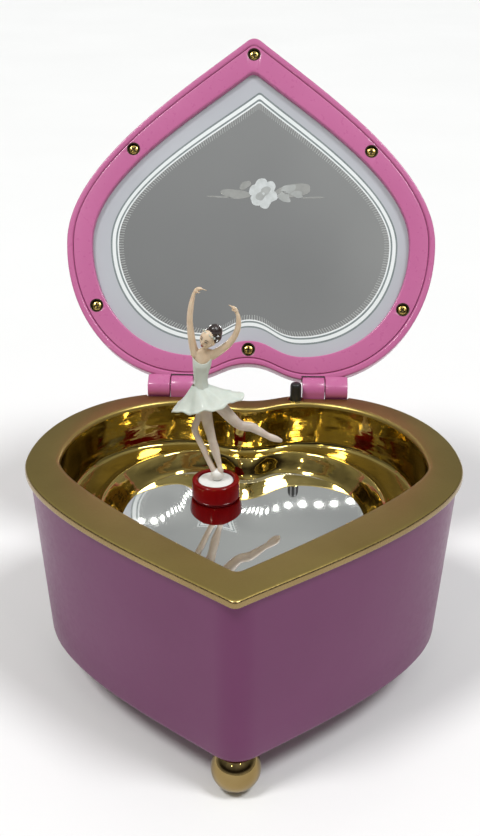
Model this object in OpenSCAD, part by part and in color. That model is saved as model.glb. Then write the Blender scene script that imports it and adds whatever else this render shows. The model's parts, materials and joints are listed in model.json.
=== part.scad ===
// Wind-up music box: a heart-shaped jewellery box with a mirrored lid, a gilt
// tray and a magnetic dancer that a clockwork movement carries round.
// The box stands on its feet, its point is towards -Y and its hinges are at +Y.

/* [Box] */
// Width of the gilt rim across the lobes
box_w = 130; // [120:1:140]
// Height of the rim's top above the table
box_h = 70; // [68:0.5:74]
// Size of the box's bottom edge as a share of the rim
foot_share = 0.92; // [0.88:0.01:0.96]
// Thickness of the box's wall
wall = 2.2; // [1.8:0.1:3]
// Diameter of each ball foot
foot_d = 14; // [13:0.5:14]

/* [Lid] */
// Angle that the lid stands open, measured from closed
lid_open = 122; // [95:1:125]
// Lid outline as a share of the rim
lid_share = 0.96; // [0.94:0.01:0.97]
// Height of the lid's shell
lid_h = 11; // [10:0.5:14]
// Width of the frame round the lid's mirror
frame_w = 9; // [8:0.5:10]

/* [Tray] */
// Depth of the ledge below the rim
ledge_depth = 14.5; // [13:0.5:15]
// Depth of the mirror below the rim
mirror_depth = 20.5; // [20:0.5:21]
// Width of the flat rim at the sides
rim_w = 10; // [9:0.5:11]

/* [Dancer] */
// Diameter of the dancer's magnet cup
cup_d = 15; // [13:0.5:15.5]
// Radius of the circle that the dancer follows
orbit_r = 5; // [4:0.5:5.5]

/* [Movement] */
// Number of teeth on the comb
comb_teeth = 18; // [12:1:18]
// Teeth on the crown wheel
crown_teeth = 24; // [24:1:24]
// Teeth on the drum's pinion
pinion_teeth = 8; // [8:1:8]
// Teeth on the drum's worm wheel
worm_wheel_teeth = 22; // [22:1:22]

/* [Hidden] */

$fn = 48;
gap = 0.3;
fit = 0.05;
eps = 0.01;

// Heart outline, for a rim 130 mm wide, measured from the middle of its widest line
unit = box_w / 130;
tip_y = 76;
lobe_x = 22;
lobe_y = 49.5;
cleft_y = 44;
tip_angle = 40;

// The hinge line
hinge_y = 50.2;
hinge_z = box_h + 1.7;
knuckle_r = 3.9;
knuckle_in = 18.2;
knuckle_mid = 25.7;
knuckle_out = 33.2;
hinge_pin_r = 1;

// The lid's levels when it is closed
lid_z = box_h + 0.4;
frame_t = 2;
glass_t = 2;
lid_wall = 1.9;
lip_w = 1.6;

// The open lid's furthest point sets where the heart sits, so that the origin is
// under the middle of the whole object
lid_edge = 2;
lid_tip = (tip_y * unit - lid_edge) * lid_share;
lid_back = hinge_y + (lid_tip + hinge_y) * -cos(lid_open)
         + (lid_z + lid_h - hinge_z) * sin(lid_open);
heart_y = (tip_y * unit - lid_back) / 2;

// The body's levels
body_z = foot_d - 1;
plate_z = body_z + 2;
plate_t = 2;
rim_t = 1.5;
lip_h = 0.8;
floor_z = plate_z + plate_t;
plate_inset = wall / foot_share + 0.4;
mirror_z = box_h - mirror_depth;
ledge_z = box_h - ledge_depth;
tray_t = 1.6;
mirror_t = 1.5;
tray_point = 14.5;
tray_back = 7;
tray_belly = 0.22;
pocket_side = 23;
pocket_point = 30;
pocket_back = 12.5;

// Places in the heart's own plane
foot_at = [[0, -61], [-45, 24], [45, 24]];
boss_at = [[-46, 4], [46, 4], [-22, -37], [22, -37]];
arbor_at = [-4, 15];
cup_at = [arbor_at[0] - orbit_r, arbor_at[1]];
ball_at = [0.4, 0, 7.8];
ball_r = 2;
stop_at = [16, 45.2];
wire_at = [16, 42];

// Wheels of the movement
bed_t = 2;
bed_z = floor_z + bed_t;
housing_r = 13;
housing_h = 11;
crown_z = bed_z + housing_h + 0.8;
crown_t = 1.5;
crown_tooth_h = 1.5;
crown_r = 12;
drum_r = 6.5;
drum_len = 18;
drum_x = 4.5 + crown_r;
drum_z = crown_z + crown_t + 0.8 + pinion_teeth / 2;
worm_m = 0.7;
worm_wheel_r = worm_m * worm_wheel_teeth / 2;
worm_wheel_x = drum_x + drum_len + 2;
worm_y = worm_wheel_r + 1.6;
arm_z = drum_z + 5.4;
worm_place = [arbor_at[0] + worm_wheel_x + 0.1, arbor_at[1] + worm_y];
worm_top_z = drum_z + 4;
fan_z = bed_z + 2;
stop_foot_z = fan_z + 6.6;
bed_screw_at = [[-17, -2], [-17, 28], [arbor_at[0] + worm_wheel_x - 6, 28]];
comb_screw_x = [arbor_at[0] + drum_x + 3, arbor_at[0] + drum_x + drum_len - 3];

function bez(a, b, c, d, t) =
  pow(1 - t, 3) * a + 3 * pow(1 - t, 2) * t * b + 3 * (1 - t) * t * t * c + pow(t, 3) * d;

// Right half of the heart, from its point round the lobe to the cleft
function half_heart(w, tip, lobe, cleft, belly = 0.38, s = 10) =
  let (p = [0, -tip], q = [w / 2, 0], r = [lobe_x * w / box_w, lobe], k = [0, cleft],
       side = [cos(tip_angle), sin(tip_angle)])
  concat(
    [for (i = [0 : s - 1]) bez(p, p + side * tip * 0.36, q - [0, tip * belly], q, i / s)],
    [for (i = [0 : s - 1]) bez(q, q + [0, lobe * 0.56], r + [w * 0.19, 0], r, i / s)],
    [for (i = [0 : s]) bez(r, r - [w * 0.08, 0], k + [w * 0.07, 0], k, i / s)]);

function mirror_half(h) =
  concat(h, [for (i = [len(h) - 2 : -1 : 1]) [-h[i][0], h[i][1]]]);

// A heart inset by the given widths at its sides, point and back; a smaller belly
// makes its front sides straighter
module heart(side = 0, point = 0, back = 0, share = 1, belly = 0.38) {
  polygon(mirror_half(half_heart(
    (box_w - 2 * side) * share, (tip_y * unit - point) * share,
    (lobe_y * unit - back) * share, (cleft_y * unit - back) * share, belly)));
}

module at_heart() { translate([0, heart_y, 0]) children(); }

module at_arbor() { at_heart() translate([arbor_at[0], arbor_at[1], 0]) children(); }

module at_lid() {
  at_heart()
    translate([0, hinge_y, hinge_z])
      rotate([-lid_open, 0, 0])
        translate([0, -hinge_y, -hinge_z])
          children();
}

module slab(z0, z1) { translate([0, 0, z0]) linear_extrude(z1 - z0) children(); }

module rod(r, z0, z1) { translate([0, 0, z0]) cylinder(r = r, h = z1 - z0); }

module along_x(x0, x1) { translate([x0, 0, 0]) rotate([0, 90, 0]) linear_extrude(x1 - x0) children(); }

// Places of the screws in the lid's frame
lid_screw_at = [[0, -66 * unit], [-40.7 * unit, -31.8 * unit], [40.7 * unit, -31.8 * unit],
                [-51.5 * unit, 23 * unit], [51.5 * unit, 23 * unit], [0, 37.3 * unit]];

// A cross-slotted countersunk screw with its head's face up at z = 0
module screw(head_r, shank_r, length) {
  difference() {
    rotate_extrude()
      polygon([[0, 0], [head_r, 0], [head_r, -0.5], [shank_r, -1.6], [shank_r, -length], [0, -length]]);
    for (a = [0, 90])
      rotate([0, 0, a])
        translate([-head_r * 0.6, -0.3, -0.8])
          cube([head_r * 1.2, 0.6, 1]);
  }
}

// A screw boss with a rib to the wall
module boss(p) {
  side = p[0] < 0 ? -1 : 1;
  difference() {
    union() {
      translate([p[0], p[1], 0]) rod(3.5, floor_z, floor_z + 12);
      translate([p[0] + side * 7 - 7, p[1] - 1, floor_z]) cube([14, 2, 10]);
    }
    translate([p[0], p[1], 0]) rod(1.3, floor_z - 1, floor_z + 10);
  }
}

module body_shell() {
  top = box_h - rim_t;
  top_share = 0.98;
  color([0.72, 0.38, 0.58])
    at_heart()
      difference() {
        union() {
          difference() {
            translate([0, 0, body_z])
              linear_extrude(top - body_z, scale = top_share / foot_share)
                heart(share = foot_share);
            translate([0, 0, body_z - eps])
              linear_extrude(top - body_z + 2 * eps, scale = top_share / foot_share)
                heart(side = wall / foot_share, point = 3.1, back = wall / foot_share, share = foot_share);
          }
          for (p = boss_at) boss(p);
          // Hinge blocks on the back, inside the lid's knuckles
          for (s = [-1, 1])
            translate([s * (knuckle_in + knuckle_mid - 0.15) / 2, 0, 0]) {
              len = knuckle_mid - 0.15 - knuckle_in;
              along_x(-len / 2, len / 2)
                translate([-hinge_z, hinge_y]) circle(r = knuckle_r);
              translate([-len / 2, lobe_y * unit * 0.93, top - 12])
                cube([len, hinge_y + knuckle_r - lobe_y * unit * 0.93, hinge_z - top + 12]);
            }
        }
        // Space for the lid's knuckles and the stop pin
        for (s = [-1, 1])
          translate([s * (knuckle_mid + knuckle_out) / 2, hinge_y, hinge_z])
            rotate([0, 90, 0])
              cylinder(r = knuckle_r + 0.4, h = knuckle_out - knuckle_mid + 0.3, center = true);
        for (s = [-1, 1])
          translate([s * knuckle_in - s, hinge_y, hinge_z])
            rotate([0, s * 90, 0])
              cylinder(r = hinge_pin_r, h = 12);
        translate([stop_at[0], stop_at[1], 0]) rod(2.2, box_h - 14, top + 1);
        translate([stop_at[0], stop_at[1], 0]) rod(1.1, box_h - 26, box_h - 13);
      }
}

module base_plate() {
  color([0.25, 0.12, 0.2])
    at_heart()
      difference() {
        slab(plate_z, floor_z)
          heart(side = plate_inset, point = 4.2, back = plate_inset, share = foot_share);
        translate([arbor_at[0], arbor_at[1], 0]) rod(4, plate_z - 1, floor_z + 1);
        for (p = boss_at) translate([p[0], p[1], 0]) rod(1.5, plate_z - 1, floor_z + 1);
        for (p = foot_at) translate([p[0], p[1], 0]) rod(2, plate_z - 1, floor_z + 1);
        for (p = bed_screw_at) translate([p[0], p[1], 0]) rod(0.9, plate_z - 1, floor_z + 1);
      }
}

module base_screws() {
  color("silver")
    at_heart()
      for (p = boss_at)
        translate([p[0], p[1], plate_z])
          rotate([180, 0, 0])
            translate([0, 0, 1.2])
              difference() {
                union() {
                  rod(2.8, -1.2, 0);
                  rod(1.3, -9, -1.2);
                }
                for (a = [0, 90]) rotate([0, 0, a]) translate([-1.8, -0.3, -0.7]) cube([3.6, 0.6, 1]);
              }
}

module feet() {
  color([0.8, 0.65, 0.3])
    at_heart()
      for (p = foot_at)
        translate([p[0], p[1], 0])
          union() {
            intersection() {
              translate([0, 0, foot_d / 2 - 0.2]) sphere(d = foot_d);
              translate([-foot_d, -foot_d, 0]) cube(2 * foot_d);
            }
            rod(3.2, foot_d - 2, plate_z);
            rod(2, plate_z, floor_z + 3.5);
          }
}

module foot_nuts() {
  color("silver")
    at_heart()
      for (p = foot_at)
        translate([p[0], p[1], floor_z])
          difference() {
            cylinder(r = 3.8, h = 2.4, $fn = 6);
            rod(2, -1, 4);
          }
}

// The tray's upper wall, with the opening grown by the given width
module tray_opening(by) {
  heart(side = rim_w - by, point = tray_point - by * 1.4, back = tray_back - by, belly = tray_belly);
}

// The lower heart that holds the floor mirror, shrunk by the given width
module mirror_pocket(by) {
  heart(side = pocket_side + by, point = pocket_point + by * 1.4, back = pocket_back + by);
}

module tray() {
  skirt_z = box_h - rim_t - lip_h;
  pocket_z = mirror_z - mirror_t;
  color([0.75, 0.6, 0.3])
    at_heart() {
      difference() {
        union() {
          slab(skirt_z, box_h) heart();
          slab(ledge_z - tray_t, box_h - rim_t) tray_opening(tray_t);
        }
        // Space inside the skirt for the body's top edge
        slab(skirt_z - 1, box_h - rim_t)
          difference() {
            heart(side = 1, point = 1.3, back = 1);
            tray_opening(tray_t);
          }
        slab(ledge_z, box_h + 1) tray_opening(0);
        slab(pocket_z - tray_t, ledge_z + 1) mirror_pocket(0);
        hinge_notches();
        translate([stop_at[0], stop_at[1], 0]) rod(1.95, box_h - 5, box_h + 1);
        translate([stop_at[0], stop_at[1], 0]) rod(2.2, ledge_z - 3, box_h - rim_t);
      }
      difference() {
        slab(pocket_z - tray_t, ledge_z - eps) mirror_pocket(-tray_t);
        slab(pocket_z, ledge_z + 1) mirror_pocket(0);
      }
    }
}

module hinge_notches() {
  for (s = [-1, 1])
    translate([s * (knuckle_in + knuckle_out) / 2, 0, 0])
      slab(box_h - rim_t - lip_h - 1, box_h + 1)
        translate([-(knuckle_out - knuckle_in) / 2 - gap, hinge_y - knuckle_r - 0.45])
          square([knuckle_out - knuckle_in + 2 * gap, 12]);
}

module floor_mirror() {
  color([0.75, 0.8, 0.85])
    at_heart()
      slab(mirror_z - mirror_t, mirror_z) mirror_pocket(0.25);
}

module hinge_pins() {
  color("silver")
    at_heart()
      for (s = [-1, 1])
        translate([s * knuckle_in + s * 0.5, hinge_y, hinge_z])
          rotate([0, s * 90, 0])
            cylinder(r = hinge_pin_r, h = knuckle_out - knuckle_in - 1);
}

// Lid parts are drawn closed and turned up about the hinge line
module lid_shell() {
  z1 = lid_z + lid_h;
  color([0.82, 0.45, 0.66])
    at_lid()
      difference() {
        union() {
          difference() {
            union() {
              slab(lid_z, z1 - 2) heart(share = lid_share);
              slab(z1 - 2 - eps, z1 - 1) heart(side = 0.6, point = 0.7, back = 0.6, share = lid_share);
              slab(z1 - 1 - eps, z1) heart(side = 1.6, point = lid_edge, back = 1.6, share = lid_share);
            }
            slab(lid_z - 1, z1 - 2)
              heart(side = lid_wall, point = lid_wall * 1.5, back = lid_wall, share = lid_share);
          }
          for (p = lid_screw_at)
            translate([p[0], p[1], 0]) rod(2.6, lid_z + frame_t, z1 - 1);
          // Ribs that press on the mirror's back
          for (y = [-30, 0, 30] * unit)
            translate([-30 * unit, y - 0.8, lid_z + frame_t + glass_t])
              cube([60 * unit, 1.6, z1 - 1 - lid_z - frame_t - glass_t]);
          for (s = [-1, 1])
            translate([s * (knuckle_mid + 0.15 + knuckle_out) / 2, 0, 0]) {
              len = knuckle_out - knuckle_mid - 0.15;
              along_x(-len / 2, len / 2)
                translate([-hinge_z, hinge_y]) circle(r = knuckle_r);
              translate([-len / 2, hinge_y - knuckle_r - 0.3, lid_z])
                cube([len, knuckle_r + 0.3, lid_h * 0.45]);
            }
        }
        for (p = lid_screw_at)
          translate([p[0], p[1], 0]) rod(0.9, lid_z + frame_t - 1, lid_z + 7);
        for (s = [-1, 1]) {
          translate([s * (knuckle_in + knuckle_mid) / 2, hinge_y, hinge_z])
            rotate([0, 90, 0])
              cylinder(r = knuckle_r + 0.5, h = knuckle_mid - knuckle_in + 0.6, center = true);
          translate([s * (knuckle_mid - 1), hinge_y, hinge_z])
            rotate([0, s * 90, 0])
              cylinder(r = hinge_pin_r + fit, h = 12);
        }
      }
}

module lid_frame() {
  color([0.86, 0.48, 0.7])
    at_lid()
      difference() {
        slab(lid_z, lid_z + frame_t)
          heart(side = lid_wall, point = lid_wall * 1.5, back = lid_wall, share = lid_share);
        slab(lid_z - 1, lid_z + frame_t + 1)
          heart(side = frame_w, point = frame_w * 1.45, back = frame_w * 0.92, share = lid_share);
        for (p = lid_screw_at)
          translate([p[0], p[1], lid_z])
            rotate([180, 0, 0])
              rotate_extrude()
                polygon([[0, 1], [2.1, 1], [2.1, -0.5], [1, -1.6], [1, -frame_t - 1], [0, -frame_t - 1]]);
        for (s = [-1, 1])
          translate([s * (knuckle_in + knuckle_out) / 2, hinge_y, hinge_z])
            rotate([0, 90, 0])
              cylinder(r = knuckle_r + 0.5, h = knuckle_out - knuckle_in + 0.6, center = true);
      }
}

module lid_mirror() {
  color([0.7, 0.73, 0.76])
    at_lid()
      difference() {
        slab(lid_z + frame_t, lid_z + frame_t + glass_t)
          heart(side = frame_w - 2, point = (frame_w - 2) * 1.45, back = frame_w - 2, share = lid_share);
        for (p = lid_screw_at)
          translate([p[0], p[1], 0]) rod(3, lid_z, lid_z + 10);
      }
}

module lid_screws() {
  color([0.75, 0.6, 0.3])
    at_lid()
      for (p = lid_screw_at)
        translate([p[0], p[1], lid_z])
          rotate([180, 0, 0])
            screw(2.05, 0.9, 6.5);
}

// The stop pin on the rim, and the wire that it pushes into the fan's way
module stop_cap() {
  color([0.05, 0.05, 0.05])
    at_heart()
      translate([stop_at[0], stop_at[1], box_h - 3])
        rotate_extrude()
          polygon([[0, 0], [1.85, 0], [1.85, 8], [1.6, 8.7], [1, 9], [0, 9]]);
}

module stop_wire() {
  jog_z = ledge_z - 3;
  foot = worm_place + [0, 3.6];
  run = foot - wire_at;
  color("silver")
    at_heart() {
      translate([stop_at[0], stop_at[1], 0]) rod(0.7, jog_z, box_h - 3);
      translate([stop_at[0], stop_at[1], jog_z]) sphere(r = 0.7);
      translate([wire_at[0], wire_at[1], jog_z])
        rotate([-90, 0, 0])
          cylinder(r = 0.7, h = stop_at[1] - wire_at[1]);
      translate([wire_at[0], wire_at[1], jog_z]) sphere(r = 0.7);
      translate([wire_at[0], wire_at[1], 0]) rod(0.7, stop_foot_z, jog_z);
      translate([wire_at[0], wire_at[1], stop_foot_z]) sphere(r = 0.7);
      translate([wire_at[0], wire_at[1], stop_foot_z])
        rotate([0, 0, atan2(run[1], run[0])])
          rotate([0, 90, 0])
            cylinder(r = 0.6, h = norm(run));
    }
}

module bedplate() {
  color([0.7, 0.7, 0.68])
    at_heart()
      difference() {
        union() {
          slab(floor_z, bed_z)
            translate([-20, -5]) square([worm_wheel_x + 24, 36]);
          // Bearing posts at both ends of the drum
          for (x = [drum_x - 2, worm_wheel_x + 2.2])
            translate([arbor_at[0] + x, arbor_at[1] - 2.5, floor_z])
              cube([1.6, 5, drum_z - floor_z + 2.5]);
          // Seat of the comb
          translate([arbor_at[0] + drum_x, -5, floor_z])
            cube([drum_len, 4, drum_z - 0.6 - floor_z]);
        }
        at_arbor_hole();
        translate([arbor_at[0], arbor_at[1], drum_z])
          rotate([0, 90, 0])
            cylinder(r = 1.2 + fit, h = 60);
        for (p = bed_screw_at) translate([p[0], p[1], 0]) rod(1.1, floor_z - 1, bed_z + 1);
        for (x = comb_screw_x) translate([x, -3, 0]) rod(0.8, drum_z - 8, drum_z);
        translate([worm_place[0], worm_place[1], 0]) rod(0.6 + fit, floor_z + 1, bed_z + 1);
      }
}

module at_arbor_hole() {
  translate([arbor_at[0], arbor_at[1], 0]) rod(2 + fit, floor_z - 1, bed_z + 1);
}

module movement_screws() {
  color("gold")
    at_heart()
      for (p = bed_screw_at)
        translate([p[0], p[1], bed_z])
          difference() {
            union() {
              rod(2, 0, 1.3);
              rod(0.9, -plate_t - bed_t, 0);
            }
            translate([-2.5, -0.3, 0.7]) cube([5, 0.6, 1]);
          }
}

module spring_housing() {
  color([0.72, 0.6, 0.3])
    at_arbor()
      difference() {
        rod(housing_r, bed_z, bed_z + housing_h);
        rod(housing_r - 0.8, bed_z - 1, bed_z + housing_h - 0.8);
        rod(2.3, bed_z, bed_z + housing_h + 1);
      }
}

// A flat spring wound round the arbor
module mainspring() {
  turns = 7;
  r0 = 3.4;
  r1 = housing_r - 1.6;
  function coil(t, by) = (r0 + (r1 - r0) * t / turns + by) * [cos(360 * t), sin(360 * t)];
  steps = [for (i = [0 : turns * 20]) i / 20];
  color("slategray")
    at_arbor()
      slab(bed_z + 0.6, bed_z + housing_h - 1.6)
        polygon(concat([for (t = steps) coil(t, 0)],
                       [for (i = [len(steps) - 1 : -1 : 0]) coil(steps[i], 0.35)]));
}

module comb() {
  pitch = drum_len / comb_teeth;
  tip = arbor_at[1] - drum_r - 1.15;
  color("silver")
    at_heart()
      difference() {
        translate([arbor_at[0] + drum_x, -5, drum_z - 0.6])
          cube([drum_len, tip + 5, 1.2]);
        for (i = [1 : comb_teeth - 1])
          translate([arbor_at[0] + drum_x + i * pitch - 0.12, -0.5, drum_z - 2])
            cube([0.24, 20, 4]);
        for (x = comb_screw_x) translate([x, -3, 0]) rod(0.9, drum_z - 2, drum_z + 2);
      }
}

module comb_screws() {
  color("gold")
    at_heart()
      for (x = comb_screw_x)
        translate([x, -3, drum_z + 0.6])
          difference() {
            union() {
              rod(1.7, 0, 1.2);
              rod(0.8, -6, 0);
            }
            translate([-2, -0.25, 0.6]) cube([4, 0.5, 1]);
          }
}

// Bracket that holds the top of the worm's shaft
module governor_cock() {
  color([0.7, 0.7, 0.68])
    at_heart()
      difference() {
        union() {
          translate([worm_place[0] - 2.5, worm_place[1] - 1.6, worm_top_z])
            cube([9.5, 4.1, 1.2]);
          translate([worm_place[0] + 5.8, worm_place[1] - 1.6, bed_z])
            cube([1.2, 4.1, worm_top_z - bed_z + 1.2]);
        }
        translate([worm_place[0], worm_place[1], 0]) rod(0.6 + fit, worm_top_z - 1, worm_top_z + 2);
      }
}

// Butterfly key under the base
module winding_key() {
  color("gold")
    at_arbor()
      difference() {
        union() {
          rod(3.2, 5, 13.5);
          for (s = [-1, 1])
            translate([s * 7, 0, 6.8])
              rotate([90, 0, 0])
                cylinder(r = 4.6, h = 1.6, center = true);
        }
        rod(2, 4, 14.5);
        for (s = [-1, 1])
          translate([s * 7.5, 0, 6.8])
            rotate([90, 0, 0])
              cylinder(r = 1.8, h = 4, center = true);
      }
}

module arbor() {
  color("silver") at_arbor() rod(2, 7, arm_z);
}

// Spur outline: straight-sided teeth, thinner than half the pitch so that they run free
module spur(teeth, m, thick = 0.36, add = 0.8, ded = 1) {
  r = teeth * m / 2;
  half = 360 / teeth * thick / 2;
  polygon([for (i = [0 : teeth - 1])
    each [for (k = [[-1.35, -ded], [-0.55, add], [0.55, add], [1.35, -ded]])
      (r + k[1] * m) * [cos(360 * i / teeth + k[0] * half), sin(360 * i / teeth + k[0] * half)]]]);
}

module crown_wheel() {
  color([0.8, 0.65, 0.3])
    at_arbor()
      difference() {
        union() {
          rod(crown_r + 1.5, crown_z, crown_z + crown_t);
          for (i = [0 : crown_teeth - 1])
            rotate([0, 0, 360 * (i + 0.5) / crown_teeth])
              translate([crown_r - 1.2, 0, crown_z + crown_t - eps])
                rotate([90, 0, 90])
                  linear_extrude(2.4)
                    polygon([[-0.55, 0], [0.55, 0], [0.25, crown_tooth_h], [-0.25, crown_tooth_h]]);
        }
        rod(2, crown_z - 1, crown_z + 5);
      }
}

// Arm on top of the arbor, with a round pocket for the drive magnet
module magnet_arm() {
  pocket_r = 4.5 + fit;
  color([0.9, 0.9, 0.86])
    at_arbor()
      difference() {
        union() {
          rod(3.4, arm_z - 1.6, arm_z);
          translate([-orbit_r, 0, 0]) rod(pocket_r + 1, arm_z, arm_z + 2.6);
          rod(3.4, arm_z, arm_z + 1);
        }
        rod(2, arm_z - 3, arm_z);
        translate([-orbit_r, 0, 0]) rod(pocket_r, arm_z + 1, arm_z + 4);
      }
}

module on_drum_axis() { at_arbor() translate([0, 0, drum_z]) children(); }

module drum() {
  pitch = drum_len / comb_teeth;
  color([0.8, 0.65, 0.3])
    on_drum_axis()
      difference() {
        union() {
          along_x(drum_x, drum_x + drum_len) circle(r = drum_r);
          for (i = [0 : comb_teeth - 1], k = [0 : 2])
            rotate([i * 137.5 + k * 120 + i * k * 7 + 50, 0, 0])
              translate([drum_x + (i + 0.5) * pitch, 0, drum_r - 0.4])
                cylinder(r = 0.25, h = 1.1, $fn = 16);
        }
        along_x(drum_x - 1, drum_x + drum_len + 1) circle(r = 1.2);
      }
}

module drum_shaft() {
  color("silver")
    on_drum_axis()
      along_x(crown_r - 2, worm_wheel_x + 5) circle(r = 1.2);
}

module drum_pinion() {
  color("silver")
    on_drum_axis()
      difference() {
        along_x(crown_r - 1, crown_r + 1) spur(pinion_teeth, 1, 0.34);
        along_x(crown_r - 2, crown_r + 2) circle(r = 1.2);
      }
}

module drum_wheel() {
  color([0.8, 0.65, 0.3])
    on_drum_axis()
      difference() {
        along_x(worm_wheel_x - 0.5, worm_wheel_x + 0.7)
          rotate([0, 0, 90]) spur(worm_wheel_teeth, worm_m, 0.26, 0.7, 1);
        along_x(worm_wheel_x - 1, worm_wheel_x + 2) circle(r = 1.2);
      }
}

// The worm's thread is a round bar twisted about its shaft
module governor_worm() {
  lead = PI * worm_m;
  len = 4.4;
  color("silver")
    at_heart()
      translate([worm_place[0], worm_place[1], 0])
        union() {
          rod(0.6, floor_z + 1.2, worm_top_z + 1.2);
          translate([0, 0, drum_z - len / 2])
            linear_extrude(len, twist = -360 * len / lead, slices = 40)
              translate([0.45, 0]) circle(r = 0.95, $fn = 20);
        }
}

module governor_fan() {
  color([0.85, 0.85, 0.8])
    at_heart()
      translate([worm_place[0], worm_place[1], 0])
        difference() {
          union() {
            rod(1.3, fan_z, fan_z + 4.5);
            translate([-4.8, -0.3, fan_z + 0.4]) cube([9.6, 0.6, 4.1]);
          }
          rod(0.6, fan_z - 1, fan_z + 6);
        }
}

module drive_magnet() {
  color([0.6, 0.6, 0.62])
    at_heart() translate([cup_at[0], cup_at[1], 0]) rod(4.5, arm_z + 1, arm_z + 2.7);
}

module at_cup() { at_heart() translate([cup_at[0], cup_at[1], mirror_z]) children(); }

module dancer_felt() { color([0.5, 0.05, 0.08]) at_cup() rod(cup_d / 2 - 1, 0, 0.5); }

module dancer_cup() {
  color([0.6, 0.02, 0.06])
    at_cup()
      difference() {
        rod(cup_d / 2, 0.5, 6.4);
        rod(cup_d / 2 - 1.5, 1.3, 7);
      }
}

module dancer_magnet() { color([0.5, 0.5, 0.52]) at_cup() rod(cup_d / 2 - 1.6, 1.3, 4.3); }

// Disc on top of the magnet, with a dish that the figure's ball tips in
module dancer_disc() {
  color([0.92, 0.92, 0.88])
    at_cup()
      difference() {
        rod(cup_d / 2 - 1.6, 4.3, 6.15);
        translate(ball_at) sphere(r = ball_r + fit);
      }
}

module dancer_ball() { color([0.92, 0.92, 0.88]) at_cup() translate(ball_at) sphere(r = ball_r); }

// A limb between two points of the figure
module limb(a, b, ra, rb) {
  hull() {
    translate(a) sphere(r = ra, $fn = 16);
    translate(b) sphere(r = rb, $fn = 16);
  }
}

module chain(points, radii) {
  for (i = [0 : len(points) - 2]) limb(points[i], points[i + 1], radii[i], radii[i + 1]);
}

module figure_solid() {
  hip = [-2.4, 0.4, 31.5];
  waist = [-3.4, 0.3, 40.5];
  chest = [-2.7, 0.3, 46];
  neck = [-2, 0.2, 50.3];
  head = [-0.9, -0.4, 54.6];
  // The leg that she stands on, the raised leg and the strut
  chain([ball_at, [1.4, 0, 10.5], [-0.6, 0.1, 19], hip], [1.1, 1.1, 1.5, 2]);
  chain([[-1, 0.6, 31], [8.9, 2, 24.9], [14.5, 3, 22.3], [20.8, 4, 19.4]], [2.1, 1.6, 1.3, 0.7]);
  chain([[-3.6, 0.4, 30], [-6.8, 0.6, 22.7], [-4.3, 0.4, 18.4], [-0.6, 0, 9]], [0.8, 0.9, 0.8, 0.8]);
  // Body and head
  chain([hip, waist, chest, neck], [2.8, 1.9, 2.5, 1]);
  chain([[-4.9, 0.3, 48], [0.5, 0.3, 48]], [1.1, 1.1]);
  chain([neck, head], [1.1, 2.9]);
  translate([1.5, 1, 56.8]) sphere(r = 1.7, $fn = 16);
  // Arms
  chain([[-5, 0.3, 48], [-6.1, -0.1, 54], [-5.7, -0.3, 60], [-1.7, -0.3, 68.4]], [1.1, 0.9, 0.8, 0.6]);
  chain([[0.6, 0.3, 48], [5, 0, 51.5], [8.3, -0.2, 58.5], [6.6, -0.2, 62.6]], [1.1, 0.9, 0.8, 0.6]);
  // Skirt
  hull() {
    translate([-3, 0.5, 37.4]) cylinder(r = 2.2, h = 1, $fn = 24);
    translate([-0.9, 1.2, 32.2])
      rotate([0, -11, 0])
        scale([1, 0.74, 1])
          cylinder(r = 10.3, h = 0.9, $fn = 40);
  }
}

// The figure stands on the ball
module dancer_figure() {
  color([0.93, 0.9, 0.84])
    at_cup()
      difference() {
        figure_solid();
        translate(ball_at) sphere(r = ball_r + eps);
      }
}

body_shell();
base_plate();
base_screws();
feet();
foot_nuts();
tray();
floor_mirror();
hinge_pins();
lid_shell();
lid_frame();
lid_mirror();
lid_screws();
stop_cap();
stop_wire();
bedplate();
movement_screws();
spring_housing();
mainspring();
comb();
comb_screws();
governor_cock();
winding_key();
arbor();
crown_wheel();
magnet_arm();
drum();
drum_shaft();
drum_pinion();
drum_wheel();
governor_worm();
governor_fan();
drive_magnet();
dancer_felt();
dancer_cup();
dancer_magnet();
dancer_disc();
dancer_ball();
dancer_figure();
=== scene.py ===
import json
import math
from math import cos, exp, hypot, pi, radians, sin

import bmesh
import bpy
from mathutils import Matrix, Vector


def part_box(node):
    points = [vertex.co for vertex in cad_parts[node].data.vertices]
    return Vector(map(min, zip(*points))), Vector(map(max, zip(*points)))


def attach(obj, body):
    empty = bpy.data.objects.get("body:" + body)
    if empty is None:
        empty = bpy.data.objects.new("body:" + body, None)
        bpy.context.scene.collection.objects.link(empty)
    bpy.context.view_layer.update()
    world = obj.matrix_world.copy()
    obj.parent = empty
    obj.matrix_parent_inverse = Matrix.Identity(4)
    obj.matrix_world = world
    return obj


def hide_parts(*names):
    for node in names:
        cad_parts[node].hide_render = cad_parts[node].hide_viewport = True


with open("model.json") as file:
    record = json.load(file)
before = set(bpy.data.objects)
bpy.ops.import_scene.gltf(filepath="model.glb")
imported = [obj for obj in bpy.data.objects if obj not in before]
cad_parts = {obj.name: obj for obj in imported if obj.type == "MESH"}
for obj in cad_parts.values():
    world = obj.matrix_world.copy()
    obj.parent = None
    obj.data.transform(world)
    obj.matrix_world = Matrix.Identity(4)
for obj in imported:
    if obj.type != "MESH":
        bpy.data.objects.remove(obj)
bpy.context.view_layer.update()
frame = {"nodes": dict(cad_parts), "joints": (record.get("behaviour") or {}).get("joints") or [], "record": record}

# Everything below is worked out in millimetres in the heart's own plane: X across the
# lobes, -Y towards the point. PLACE turns that into metres in the CAD frame.
MM = 0.001
TIP, LOBE_X, LOBE_Y, CLEFT, WIDTH = 76, 22, 49.5, 44, 130
TIP_SLOPE = radians(40)
TRAY_LO, TRAY_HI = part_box("tray")
HEART_Y = TRAY_LO.y / MM + TIP
TOP = TRAY_HI.z / MM
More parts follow.
